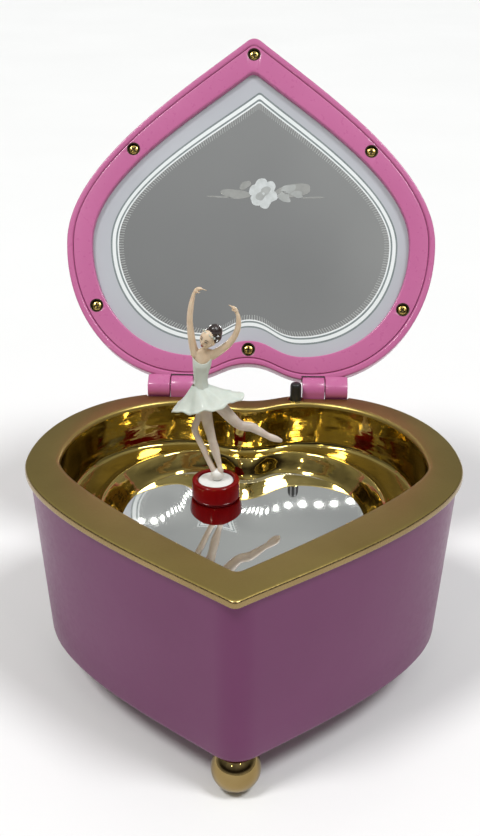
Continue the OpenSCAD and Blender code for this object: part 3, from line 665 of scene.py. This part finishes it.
def build_lid_shell():
    top = LID_Z + LID_H
    path = rounded([
        ((2.2, 2.9, 2.2, LID_Z + 0.45), 0), ((1.75, 2.4, 1.75, LID_Z), 0.25), ((0, 0, 0, LID_Z), 0.7),
        ((0, 0, 0, top - 1.2), 3.4), ((9, 11.7, 9, top), 4), ((26, 33, 26, top), 0)], 8)
    rings = [level(heart(p[:3], LID_SHARE, 3.2), p[3]) for p in path]
    # The inside, down to the seat of the frame
    inner = [(26, 33, 26, top - 2), (6, 7.8, 6, top - 2), (2.6, 3.4, 2.6, top - 3.6), (2.2, 2.9, 2.2, top - 5)]
    bm = bmesh.new()
    rings += [level(heart(p[:3], LID_SHARE, 3.2), p[3]) for p in inner]
    loft(bm, rings[:len(path)], cap_start=False)
    bm.verts.ensure_lookup_table()
    first = [bm.verts[i] for i in range(len(rings[0]))]
    rows = [[bm.verts.new(p) for p in ring] for ring in rings[len(path):]]
    bm.faces.new(rows[0])
    chain = rows + [first]
    for a, b in zip(chain, chain[1:]):
        for i in range(len(a)):
            j = (i + 1) % len(a)
            bm.faces.new((a[i], a[j], b[j], b[i]))
    for side in (-1, 1):
        x0, x1 = sorted((side * (KNUCKLE_MID + 0.15), side * KNUCKLE_OUT))
        points = []
        for i in range(25):
            angle = radians(-100 + 205 * i / 24)
            points.append((HINGE.y + KNUCKLE_R * cos(angle), HINGE.z + KNUCKLE_R * sin(angle)))
        points += [(HINGE.y - 3.2, LID_Z + 5.6), (HINGE.y - 4.1, LID_Z + 4.6), (HINGE.y - 4.1, LID_Z + 0.1)]
        along_x(points, x0, x1, bm)
    cut = bmesh.new()
    hinge_room(cut, KNUCKLE_IN - 0.3, KNUCKLE_MID, KNUCKLE_R + 0.5)
    return piece("lid_shell_skin", bm, ["pink_lid"], "lid", "pink_lid", ["lid_shell"], LID_PLACE, cutters=[cut])


def build_lid_frame():
    path = rounded([
        ((2.35, 3.1, 2.35, LID_Z + 2.1), 0), ((2.35, 3.1, 2.35, LID_Z + 0.1), 0.45),
        ((9, 13.05, 8.3, LID_Z + 0.1), 0.6), ((9.15, 13.3, 8.45, LID_Z + 2.0), 0),
        ((2.35, 3.1, 2.35, LID_Z + 2.1), 0)], 5)
    bm = bmesh.new()
    loft(bm, [level(heart(p[:3], LID_SHARE, 2.6), p[3]) for p in path[:-1]], closed=True)
    cut = bmesh.new()
    for x, y in SCREWS:
        # The holes' walls take the dark second finish, painted shade round the screws
        lathe(cut, [(0, LID_Z - 1), (2.3, LID_Z - 1), (2.3, LID_Z + 0.1), (1.95, LID_Z + 0.3), (1.95, LID_Z + 1.5),
                    (0, LID_Z + 1.5)], (x, y, 0), steps=40, finish=1)
    hinge_room(cut, KNUCKLE_IN - 0.3, KNUCKLE_OUT + 0.3, KNUCKLE_R + 0.5)
    return piece("lid_frame_ring", bm, ["pink_lid", "recess_shade"], "lid", "pink_lid", ["lid_frame"], LID_PLACE,
                 cutters=[cut])


def cross_prism(bm, centre, turn, reach, half, z0, z1):
    """A cross-shaped block, for the slot cut into a screw's head."""
    outline = []
    for k in range(4):
        corner = Matrix.Rotation(turn + k * pi / 2, 2)
        outline += [corner @ Vector(p) for p in ((reach, -half), (reach, half), (half, half))]
    loft(bm, [[Vector((centre[0] + p.x, centre[1] + p.y, z)) for p in outline] for z in (z0, z1)])


def build_lid_screws():
    for number, (x, y) in enumerate(SCREWS, 1):
        bm = bmesh.new()
        z = LID_Z + 0.45
        lathe(bm, [(0, z), (0.7, z + 0.03), (1.3, z + 0.15), (1.62, z + 0.4), (1.7, z + 0.7), (0.9, z + 1.6),
                   (0.9, z + 6), (0, z + 6)], (x, y, 0), steps=40)
        cut = bmesh.new()
        cross_prism(cut, (x, y), 0.4 + number, 1.05, 0.22, z - 1, z + 0.65)
        # The slot's faces take the dark second finish, painted shade in the cross slot
        for face in cut.faces:
            face.material_index = 1
        screw = piece(f"lid_screw_{number}", bm, ["screw_brass", "recess_shade"], "lid", "brass", (), LID_PLACE,
                      cutters=[cut])
        if number == 1:
            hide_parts("lid_screws")


def build_lid_mirror():
    front = LID_Z + 2.05

    def at(distance):
        return (9.2 + distance, 13.3 + distance * 1.38, 8.5 + distance)

    def printed(distance):
        """The printed heart sits a little askew on its glass."""
        ring = heart(at(distance), LID_SHARE, 1.0, count=150)
        askew = 1 if distance > 4 else 0
        turn = Matrix.Rotation(radians(1.2 * askew), 2)
        return [turn @ v + Vector((1.1, 0.2)) * askew for v in ring]

    # Printed bands on the glass: border, line, band, line, edge, lace, then the mirror
    bands = [(-1.9, 3), (0.2, 3), (5.0, 3), (5.02, 1), (5.6, 1), (5.62, 2), (6.8, 2), (6.82, 1), (7.4, 1),
             (7.42, 2), (7.9, 2)]
    bm = bmesh.new()
    rings = [level(printed(d), front) for d, _ in bands]
    finish = [kind for _, kind in bands[1:]]
    back = level(heart(at(-1.9), LID_SHARE, 1.0, count=150), front + 1.9)
    rows = loft(bm, [back] + rings, cap_end=False, finish=[3] + finish)
    # Lace: narrow teeth that reach in from the printed edge over the mirror
    outer, inner = printed(7.9), printed(9.6)
    edge = rows[-1]
    tips = [bm.verts.new((v.x, v.y, front)) for v in inner]
    count = len(edge)
    mid_a, mid_b = [], []
    for i in range(count):
        j = (i + 1) % count
        for share, store in ((0.32, mid_a), (0.62, mid_b)):
            p = outer[i].lerp(outer[j], share)
            q = inner[i].lerp(inner[j], share)
            store.append((bm.verts.new((p.x, p.y, front)), bm.verts.new((q.x, q.y, front))))
    for i in range(count):
        j = (i + 1) % count
        (pa, qa), (pb, qb) = mid_a[i], mid_b[i]
        for verts, kind in (((edge[i], pa, qa, tips[i]), 0), ((pa, pb, qb, qa), 4), ((pb, edge[j], tips[j], qb), 0)):
            bm.faces.new(verts).material_index = kind
    loop = []
    for i in range(count):
        loop += [tips[i], mid_a[i][1], mid_b[i][1]]
    bm.faces.new(loop).material_index = 0
    return piece("lid_mirror_glass", bm, ["lid_glass", "print_line", "print_band", "print_white", "print_lace"],
                 "lid", "printed_glass", ["lid_mirror"], LID_PLACE, crease=20)


def flat_shape(bm, outline, z, thick=0.04, finish=0):
    """A thin printed patch on the glass; z is its face nearest the viewer."""
    top = [bm.verts.new((x, y, z)) for x, y in outline]
    low = [bm.verts.new((x, y, z + thick)) for x, y in outline]
    bm.faces.new(top).material_index = finish
    bm.faces.new(low[::-1]).material_index = finish
    for i in range(len(top)):
        j = (i + 1) % len(top)
        bm.faces.new((top[i], top[j], low[j], low[i])).material_index = finish


ROSE_AT = Vector((4.0, -17.2))


def build_print():
    """A pale rose between leaves, printed on the mirror."""
    z = LID_Z + 2.0
    bm = bmesh.new()

    def blob(centre, wide, high, turn, wobble, layer, finish, points=36):
        outline = []
        for i in range(points):
            a = 2 * pi * i / points
            r = 1 + wobble * sin(3 * a + centre[0]) + wobble * 0.6 * sin(5 * a + centre[1])
            p = Vector((wide * r * cos(a), high * r * sin(a)))
            p.rotate(Matrix.Rotation(turn, 2))
            outline.append((ROSE_AT.x + centre[0] + p.x, ROSE_AT.y + centre[1] + p.y))
        flat_shape(bm, outline, z - 0.012 * layer, 0.03 + 0.012 * layer, finish)

    # Leaves and buds, faint
    for centre, wide, high, turn in (((-9.5, 0.3), 5.2, 1.6, 0.1), ((10.5, -1.2), 6, 2.3, -0.12),
                                     ((-15, 1.4), 4.4, 0.3, 0.04), ((17, 1.3), 4.2, 0.3, -0.04),
                                     ((-6.2, -2.8), 2.2, 1.2, -0.6)):
        blob(centre, wide, high, turn, 0.05, 0, 0)
    for centre, wide, high, turn in (((7.2, 1.2), 2.3, 1.7, 0.6), ((8.6, -1.6), 2.6, 1.5, -0.3),
                                     ((11.6, 0.2), 2.0, 1.2, 0.2)):
        blob(centre, wide, high, turn, 0.12, 1, 2)
    # Petals from the outside in
    for i in range(6):
        a = 2 * pi * i / 6 + 0.3
        blob((2.5 * cos(a), 2.9 * sin(a)), 2.5, 2.2, a, 0.06, 1 + i % 2, 1)
    for i in range(4):
        a = 2 * pi * i / 4 + 0.8
        blob((1.2 * cos(a), 1.3 * sin(a)), 1.8, 1.4, a, 0.06, 3 + i % 2, 2 if i % 2 else 1)
    blob((0.1, 0), 1.0, 0.9, 0.4, 0.08, 5, 2)
    blob((0.1, 0.1), 0.5, 0.4, 0.9, 0.08, 6, 1)
    return piece("lid_mirror_rose", bm, ["print_leaf", "print_petal", "print_lace"], "lid", "printed_glass",
                 (), LID_PLACE)


# ---------------------------------------------------------------- stop pin and the dancer's base

def build_stop_cap():
    bm = bmesh.new()
    lathe(bm, [(0, TOP - 0.9), (1.85, TOP - 0.9), (1.85, TOP + 4.6), (1.80, TOP + 5.1), (1.66, TOP + 5.55),
               (1.4, TOP + 5.82), (1.0, TOP + 5.95), (0.5, TOP + 6), (0, TOP + 6)], (*STOP_AT, 0), steps=48)
    piece("stop_button", bm, ["black_plastic"], "stop_pin", "black_plastic", ["stop_cap"])
    collar = bmesh.new()
    ring = [(1.98, TOP - 0.3), (1.98, TOP + 0.12), (2.06, TOP + 0.22), (2.3, TOP + 0.28), (2.55, TOP + 0.22),
            (2.68, TOP + 0.12), (2.72, TOP - 0.3), (1.98, TOP - 0.3)]
    lathe(collar, ring, (*STOP_AT, 0), steps=48)
    return piece("stop_collar", collar, ["gilt_bright"], "box", "gilt")


def build_cup():
    bm = bmesh.new()
    lathe(bm, [(0, 0.5), (6.9, 0.5), (7.25, 0.6), (7.45, 0.85), (7.5, 1.2), (7.5, 5.7), (7.42, 6.1), (7.2, 6.33),
               (6.9, 6.4), (6.1, 6.4), (5.8, 6.3), (5.65, 6.05), (5.6, 5.7), (5.6, 1.3), (0, 1.3)], steps=96)
    return piece("dancer_cup_shell", bm, ["red_cup"], "dancer_base", "red_cup", ["dancer_cup"], CUP_PLACE)


def build_disc():
    bm = bmesh.new()
    low = []
    for i in range(9):
        angle = radians(64 * i / 8)
        low.append((2.05 * sin(angle), 7.8 - 2.05 * cos(angle)))
    profile = [(0, 4.3), (5.5, 4.3), (5.5, 5.7), (5.4, 5.95), (5.1, 6.12)]
    rim = [(r, z) for r, z in low if z < 6.12]
    profile += [(rim[-1][0] + 0.25, 6.15)] + rim[::-1]
    lathe(bm, profile, (0.4, 0, 0), steps=64)
    for v in bm.verts:
        reach = hypot(v.co.x - 0.4, v.co.y)
        v.co.x -= 0.4 * min(1, max(0, (reach - 1.5) / 4))
    return piece("dancer_disc_top", bm, ["white_plastic"], "dancer_base", "white_plastic", ["dancer_disc"], CUP_PLACE)


# ---------------------------------------------------------------- the dancer

HEAD_AT = Vector((-0.8, -0.6, 52.6))
HEAD_TURN = Matrix.Rotation(radians(30), 3, "Y") @ Matrix.Rotation(radians(-30), 3, "Z") \
    @ Matrix.Rotation(radians(16), 3, "X")
# She is drawn upright from the centre of the ball, then stretched and leant a little
DANCER_PLACE = (CUP_PLACE @ Matrix.Translation((0, 0, 7.8))
                @ Matrix(((1, 0, -0.03, 0), (0, 1, 0, 0), (0, 0, 1.02, 0), (0, 0, 0, 1)))
                @ Matrix.Translation((0, 0, -7.8)))


def figure_piece(name, bm, finishes, stands_for=(), **more):
    return piece(name, bm, finishes, "dancer_figure", "figure_resin", stands_for, DANCER_PLACE, **more)


def on_head(x, y, z):
    return HEAD_AT + HEAD_TURN @ Vector((x, y, z))


def head_shape(p):
    """Narrows an egg to a chin, flattens the face and sets the eyes back."""
    down = max(0, -p.z / 3.3)
    p = Vector((p.x * (1 - 0.42 * down ** 1.4), p.y * (1 - 0.18 * down), p.z))
    if p.y < 0:
        p.y *= 0.93 + 0.05 * down
        for side in (-1, 1):
            reach = hypot(p.x - side * 0.95, (p.z - 0.15) * 1.3)
            p.y += 0.22 * exp(-(reach / 0.62) ** 2)
    return p


def build_skin():
    bm = bmesh.new()
    # Shoulders and chest above the dress, the neck and the head
    limb(bm, [(-3.1, 0.3, 41.5, 2.0, 1.5), (-2.9, 0.3, 44.5, 2.3, 1.7), (-2.4, 0.3, 47, 2.9, 1.7),
              (-2.2, 0.3, 48.4, 2.0, 1.25), (-2.0, 0.3, 49.2, 1.0, 0.95), (-1.7, 0.15, 50.4, 0.88, 0.88),
              (-1.2, -0.1, 51.8, 0.9, 0.9)], 26)
    limb(bm, [(-5.2, 0.3, 47.6, 1.1, 1.05), (-2.2, 0.3, 48.2, 1.15, 1.2), (0.8, 0.3, 47.8, 1.1, 1.05)], 12)
    ball(bm, HEAD_AT, (2.45, 2.75, 3.3), HEAD_TURN, steps=36, shape=head_shape)
    limb(bm, [(*on_head(0, -2.45, 0.35), 0.16, 0.2), (*on_head(0, -2.85, -0.45), 0.24, 0.3),
              (*on_head(0, -2.8, -0.75), 0.3, 0.3)], 6, 12)
    for side in (-1, 1):
        ball(bm, on_head(side * 2.25, 0.25, -0.15), (0.32, 0.5, 0.75), HEAD_TURN, steps=14)
    # Left arm, rising in a long bow, and its hand
    limb(bm, [(-4.8, 0.3, 47.4, 1.3, 1.2), (-5.5, 0.2, 50.5, 1.2, 1.15), (-5.9, 0, 54.5, 1.05, 1.0),
              (-6.0, -0.2, 58.5, 0.92, 0.88), (-5.5, -0.3, 62.3, 0.85, 0.8), (-4.8, -0.3, 65.3, 0.62, 0.6),
              (-4.4, -0.3, 66.5, 0.52, 0.5)], 30)
    limb(bm, [(-4.45, -0.3, 66.4, 0.46, 0.42), (-3.7, -0.35, 67.5, 0.66, 0.42), (-2.9, -0.4, 67.9, 0.62, 0.36),
              (-2.4, -0.4, 67.95, 0.5, 0.32)], 10)
    for k in range(4):
        y = -0.9 + 0.33 * k
        limb(bm, [(-2.8, y, 68.0, 0.2, 0.18), (-1.9, y - 0.02, 68.05 - 0.1 * k, 0.17, 0.16),
                  (-0.95 + 0.1 * k, y, 67.7 - 0.14 * k, 0.12, 0.12)], 8, 10)
    limb(bm, [(-3.7, -0.7, 67.3, 0.2, 0.2), (-3.1, -0.85, 66.9, 0.17, 0.17), (-2.5, -0.8, 66.9, 0.13, 0.13)], 7, 10)
    # Right arm, out to the side and up
    limb(bm, [(0.2, 0.3, 47.2, 1.4, 1.25), (2.6, 0.2, 48.8, 1.25, 1.15), (5.2, 0.1, 50.9, 1.08, 1.0),
              (7.2, 0, 53.6, 0.92, 0.88), (8.3, -0.1, 56.6, 0.86, 0.8), (8.4, -0.2, 59.4, 0.66, 0.62),
              (8.1, -0.2, 60.6, 0.52, 0.5)], 30)
    limb(bm, [(8.05, -0.2, 60.4, 0.46, 0.42), (7.7, -0.25, 61.6, 0.66, 0.42), (7.0, -0.3, 62.3, 0.6, 0.36)], 10)
    for k in range(4):
        y = -0.8 + 0.33 * k
        limb(bm, [(7.3, y, 62.1, 0.2, 0.18), (6.5, y, 62.8 - 0.06 * k, 0.17, 0.16),
                  (5.7 + 0.1 * k, y, 63.3 - 0.12 * k, 0.12, 0.12)], 8, 10)
    limb(bm, [(7.7, -0.6, 61.4, 0.2, 0.2), (7.0, -0.75, 61.5, 0.17, 0.17), (6.5, -0.7, 61.8, 0.13, 0.13)], 7, 10)
    return figure_piece("dancer_skin", bm, ["figure_skin"], ["dancer_figure"], crease=180, voxel=0.16)


def build_legs():
    bm = bmesh.new()
    # The leg that she stands on, down to a pointed foot on the ball
    limb(bm, [(-2.0, 0.4, 33.5, 2.1, 2.0), (-2.5, 0.4, 30, 2.0, 1.9), (-2.0, 0.3, 25.5, 1.75, 1.7),
              (-1.1, 0.1, 21.3, 1.42, 1.4), (-0.7, 0.1, 19.2, 1.35, 1.35), (-0.1, 0.3, 16.4, 1.45, 1.45),
              (0.8, 0.2, 12.8, 1.0, 0.98), (1.3, 0, 10.8, 0.85, 0.88), (1.55, -0.2, 9.4, 0.95, 1.05),
              (1.0, -0.2, 7.9, 0.6, 0.7)], 44)
    # The raised leg, carried back to the side
    limb(bm, [(-0.8, 0.7, 33, 2.1, 2.0), (2.2, 1.2, 30.2, 2.05, 1.95), (5.2, 1.7, 26.5, 1.8, 1.7),
              (8.0, 2.0, 23.8, 1.5, 1.45), (11.2, 2.5, 23.1, 1.5, 1.45), (13.9, 3.0, 21.4, 1.25, 1.2),
              (16.1, 3.4, 19.9, 0.98, 0.95), (17.8, 3.6, 19.0, 1.1, 0.9), (19.3, 3.8, 18.4, 0.95, 0.8),
              (20.4, 3.9, 18.0, 0.62, 0.55)], 44)
    # The end of the skirt's ribbon, which props her up behind the leg
    limb(bm, [(-3.4, 0.8, 30.5, 0.9, 0.7), (-4.9, 0.8, 26.4, 1.05, 0.7), (-6.0, 0.7, 23.4, 1.1, 0.75),
              (-5.5, 0.5, 20.8, 1.05, 0.75), (-4.1, 0.4, 17.6, 1.0, 0.8), (-2.3, 0.3, 13, 0.92, 0.8),
              (-0.7, 0, 9.4, 0.9, 0.8), (-0.1, 0, 8.2, 0.75, 0.75)], 36)
    return figure_piece("dancer_legs", bm, ["figure_tights"], crease=180, voxel=0.18)


def build_dress():
    bm = bmesh.new()
    steps = 64
    # Bodice: a close skin over the trunk with a scooped top edge
    trunk = [(-2.7, 0.4, 33.6, 2.9, 2.3), (-3.2, 0.35, 36.2, 2.35, 1.9), (-3.5, 0.3, 39, 2.05, 1.62),
             (-3.4, 0.3, 41.3, 2.25, 1.75), (-3.0, 0.2, 43.8, 2.7, 2.05), (-2.7, 0.2, 46.2, 3.0, 2.1)]
    rings = []
    for x, y, z, wide, deep in smooth_path(trunk, 22):
        ring = []
        up = (z - 33.6) / 12
        for i in range(steps):
            a = 2 * pi * i / steps
            bust = 0.22 * exp(-((z - 44.4) / 1.3) ** 2) * sum(
                exp(-((a - c) / 0.42) ** 2) for c in (radians(270 - 32), radians(270 + 32)))
            fold = 0.05 * sin(9 * a + 4 * up)
            scoop = (0.55 * cos(2 * a) + 0.35 * sin(a)) * max(0, (up - 0.8) / 0.2)
            ring.append(Vector((x + (wide + bust + fold) * cos(a), y + (deep + bust + fold) * sin(a),
                                z + scoop)))
        rings.append(ring)
    centre = Vector((-2.7, 0.2, 45.2))
    rings.append([p.lerp(centre, 0.10) + Vector((0, 0, 0.05)) for p in rings[-1]])
    rings.append([p.lerp(centre, 0.2) - Vector((0, 0, 0.4)) for p in rings[-2]])
    loft(bm, rings)
    # Skirt: a short smooth cone with a few soft folds and a faintly scalloped hem
    spokes = 120
    upper, lower = [], []
    for j in range(17):
        t = j / 16
        for rows, under in ((upper, 0), (lower, 0.34)):
            ring = []
            for i in range(spokes):
                a = 2 * pi * i / spokes
                fold = 0.42 * sin(7 * a + 0.6) + 0.16 * sin(16 * a + 2)
                point = 1.6 * (exp(-(min(a, 2 * pi - a) / 0.42) ** 2)
                               + exp(-((a - pi - 0.25) / 0.36) ** 2))
                r = 2.0 + (9.9 + point + 0.22 * sin(7 * a + 2.1) - 2.0) * t
                ring.append(Vector((r * cos(a), r * 0.74 * sin(a),
                                    6.2 * (1 - t) ** 1.25 + fold * t ** 1.4 - under)))
            rows.append(ring)
    tilt = Matrix.Translation((-1.9, 1.2, 31.9)) @ Matrix.Rotation(radians(-12), 4, "Y")
    lean = [Vector((-1.2 * (1 - j / 16), -0.5 * (1 - j / 16), 0)) for j in range(17)]
    outer = [[tilt @ (p + lean[j]) for p in ring] for j, ring in enumerate(upper)]
    inner = [[tilt @ (p + lean[j]) for p in ring] for j, ring in enumerate(lower)]
    loft(bm, outer + inner[::-1], closed=True)
    return figure_piece("dancer_dress", bm, ["figure_dress"], crease=60)


def build_hair():
    bm = bmesh.new()

    def strands(p):
        return p * (1 + 0.018 * sin(26 * math.atan2(p.x, p.z + 0.4)))

    # A cap that follows the skull, lifted off the face by its own tilt
    ball(bm, on_head(0, 0.62, 0.62), (2.5, 2.62, 3.05), HEAD_TURN @ Matrix.Rotation(radians(-14), 3, "X"),
         steps=60, shape=strands)
    ball(bm, on_head(0.4, 1.6, 2.9), (2.2, 2.2, 2.0), HEAD_TURN, steps=48, shape=strands)
    ball(bm, on_head(0.7, 1.7, 1.3), (2.2, 2.2, 2.3), HEAD_TURN, steps=48, shape=strands)
    return figure_piece("dancer_hair", bm, ["figure_hair"], crease=70)


def build_face():
    bm = bmesh.new()
    # Lips, eyelids and brows, painted on a doll's face
    for z, wide in ((-1.62, 0.40), (-1.84, 0.32)):
        limb(bm, [(*on_head(-wide, -2.12, z), 0.07, 0.07), (*on_head(0, -2.36, z - 0.02), 0.12, 0.10),
                  (*on_head(wide, -2.12, z), 0.07, 0.07)], 9, 10)
    for side in (-1, 1):
        limb(bm, [(*on_head(side * 0.55, -2.42, 0.22), 0.09, 0.09), (*on_head(side * 0.95, -2.38, 0.32), 0.13, 0.11),
                  (*on_head(side * 1.35, -2.12, 0.2), 0.07, 0.07)], 9, 10, finish=1)
        limb(bm, [(*on_head(side * 0.5, -2.52, 0.86), 0.06, 0.06), (*on_head(side * 0.95, -2.42, 1.02), 0.08, 0.07),
                  (*on_head(side * 1.5, -2.05, 0.85), 0.05, 0.05)], 9, 10, finish=1)
    figure_piece("dancer_face_paint", bm, ["figure_paint", "figure_hair"])
    # A band of white leaves across the front of her hair
    bm = bmesh.new()
    for k in range(9):
        a = radians(-64 + 16 * k)
        at = on_head(2.45 * sin(a), -1.55 * cos(a) + 0.15, 2.05 + 0.25 * cos(a))
        lean = HEAD_TURN @ Matrix.Rotation(-a, 3, "Z") @ Matrix.Rotation(radians(30), 3, "X")
        ball(bm, at, (0.42, 0.16, 0.34 + 0.2 * (k % 2)), lean, steps=14)
    return figure_piece("dancer_headband", bm, ["figure_dress"])


# ---------------------------------------------------------------- CAD nodes that stay

def finish_cad_nodes():
    """Gives each CAD node its finish, smooth but with crisp edges."""
    slots = {s["node"]: s["material_slot"] for s in frame["record"]["subparts"]}
    for node, thing in frame["nodes"].items():
        for holder in thing.material_slots:
            holder.material = FINISH[slots[node]]
        for polygon in thing.data.polygons:
            polygon.use_smooth = True
        split = thing.modifiers.new("edges", "EDGE_SPLIT")
        split.split_angle = radians(28)


# ---------------------------------------------------------------- stage, light and camera

def build_stage():
    mesh = bpy.data.meshes.new("floor")
    bm = bmesh.new()
    half, strips = 4.0, 40
    rows = []
    for k in range(strips):
        y = -3 + 9 * k / (strips - 1)
        rows.append([(-half, y, 0), (half, y, 0)])
    verts = [[bm.verts.new(p) for p in row] for row in rows]
    for a, b in zip(verts, verts[1:]):
        bm.faces.new((a[0], a[1], b[1], b[0]))
    bm.to_mesh(mesh)
    bm.free()
    floor = add_object("floor", mesh)
    mesh.materials.append(surface("floor_paper", (0.83, 0.83, 0.83), (0.85, 0.85, 0.85), (0.7, 0.8), mottle=6,
                                  grain=300, bumps=[(1200, 0.00002, None)]))


def area_light(name, at, aim, size, power, colour, shape="DISK", size_y=None):
    light = bpy.data.lights.new(name, "AREA")
    light.shape = shape
    light.size = size
    if size_y:
        light.size_y = size_y
    light.energy = power
    light.color = colour
    lamp = add_object(name, light)
    lamp.location = at
    lamp.rotation_euler = (Vector(aim) - Vector(at)).to_track_quat("-Z", "Y").to_euler()


def build_world():
    """A dim room with a pale ceiling; it is what the gold and the mirrors show."""
    world = bpy.data.worlds.new("studio")
    bpy.context.scene.world = world
    world.use_nodes = True
    tree = world.node_tree
    nodes, links = tree.nodes, tree.links
    background = nodes["Background"]
    where = nodes.new("ShaderNodeTexCoord").outputs["Generated"]
    split = nodes.new("ShaderNodeSeparateXYZ")
    links.new(where, split.inputs[0])
    front = mapped(tree, split.outputs["Y"], 0, 1, -0.3, 0.3)
    rise = mapped(tree, split.outputs["Z"], 0, 1, 0.35, 0.85)
    low = mixed(tree, front, (0.035, 0.03, 0.03), (0.20, 0.20, 0.19))
    room = mixed(tree, rise, low, (0.52, 0.53, 0.53))
    haze = mapped(tree, split.outputs["Z"], 1, 0, 0.04, 0.24)
    room = mixed(tree, haze, room, (0.55, 0.55, 0.55))
    patches = nodes.new("ShaderNodeTexNoise")
    patches.inputs["Scale"].default_value = 3.2
    patches.inputs["Detail"].default_value = 2
    links.new(where, patches.inputs["Vector"])
    shade = mixed(tree, mapped(tree, patches.outputs["Fac"], 0, 1, 0.35, 0.65), (0.72, 0.72, 0.72), (1.12, 1.12, 1.1))
    blend = nodes.new("ShaderNodeMix")
    blend.data_type = "RGBA"
    blend.blend_type = "MULTIPLY"
    blend.inputs["Factor"].default_value = 1
    links.new(room, blend.inputs[6])
    links.new(shade, blend.inputs[7])
    links.new(blend.outputs[2], background.inputs["Color"])
    background.inputs["Strength"].default_value = 1.0


def sun(name, towards, strength, angle, colour=(1, 1, 1)):
    light = bpy.data.lights.new(name, "SUN")
    light.energy = strength
    light.angle = radians(angle)
    light.color = colour
    lamp = add_object(name, light)
    lamp.rotation_euler = (-Vector(towards)).to_track_quat("-Z", "Y").to_euler()


def build_lights():
    sun("key", (-0.42, -0.30, 0.87), 1.52, 14, (1, 0.995, 0.98))
    sun("fill", (0.45, -0.26, 0.87), 1.58, 16, (0.98, 0.99, 1))
    # A string of small lamps overhead, which the mirrors pick up as a chain of dots
    lamps = 14
    for k in range(lamps):
        t = k / (lamps - 1)
        at = (-0.20 + 0.34 * t, 0.30 + 0.18 * t + 0.012 * sin(5.1 * k), 1.6)
        area_light(f"lamp_{k}", at, (at[0], at[1], 0), 0.009, 0.03, (1, 1, 0.96), "ELLIPSE", 0.036)
    # Two warm lamps low on the front, for the bright spots in the gold
    area_light("warm_left", (-0.35, -0.9, 0.75), (0, 0, 0.06), 0.05, 0.35, (1, 0.95, 0.7))
    area_light("warm_right", (0.42, -0.8, 0.9), (0, 0, 0.06), 0.04, 0.25, (1, 0.97, 0.8))


CAMERA_AT = (8.09, -347.78, 235.43)
YAW, PITCH, ROLL = radians(-1.75), radians(25.05), radians(0.235)
LENS = 52.61
SHIFT = (0.003, 0.001)


def build_camera():
    data = bpy.data.cameras.new("camera")
    data.sensor_fit = "VERTICAL"
    data.sensor_height = 36
    data.lens = LENS
    data.shift_x, data.shift_y = SHIFT
    data.clip_start = 0.01
    camera = add_object("camera", data)
    forward = Vector((sin(YAW) * cos(PITCH), cos(YAW) * cos(PITCH), -sin(PITCH)))
    right = Vector((cos(YAW), -sin(YAW), 0))
    up = right.cross(forward)
    right, up = (right * cos(ROLL) + up * sin(ROLL), up * cos(ROLL) - right * sin(ROLL))
    turn = Matrix((right, up, -forward)).transposed()
    camera.matrix_world = Matrix.Translation(Vector(CAMERA_AT) * MM) @ turn.to_4x4()
    bpy.context.scene.camera = camera
    bpy.context.scene.view_settings.view_transform = "Standard"


build_camera()
build_world()
build_lights()
build_stage()
finish_cad_nodes()
build_body()
build_tray()
build_floor_mirror()
build_feet()
build_lid_shell()
build_lid_frame()
build_lid_screws()
build_lid_mirror()
build_print()
build_stop_cap()
build_cup()
build_disc()
build_skin()
build_legs()
build_dress()
build_hair()
build_face()
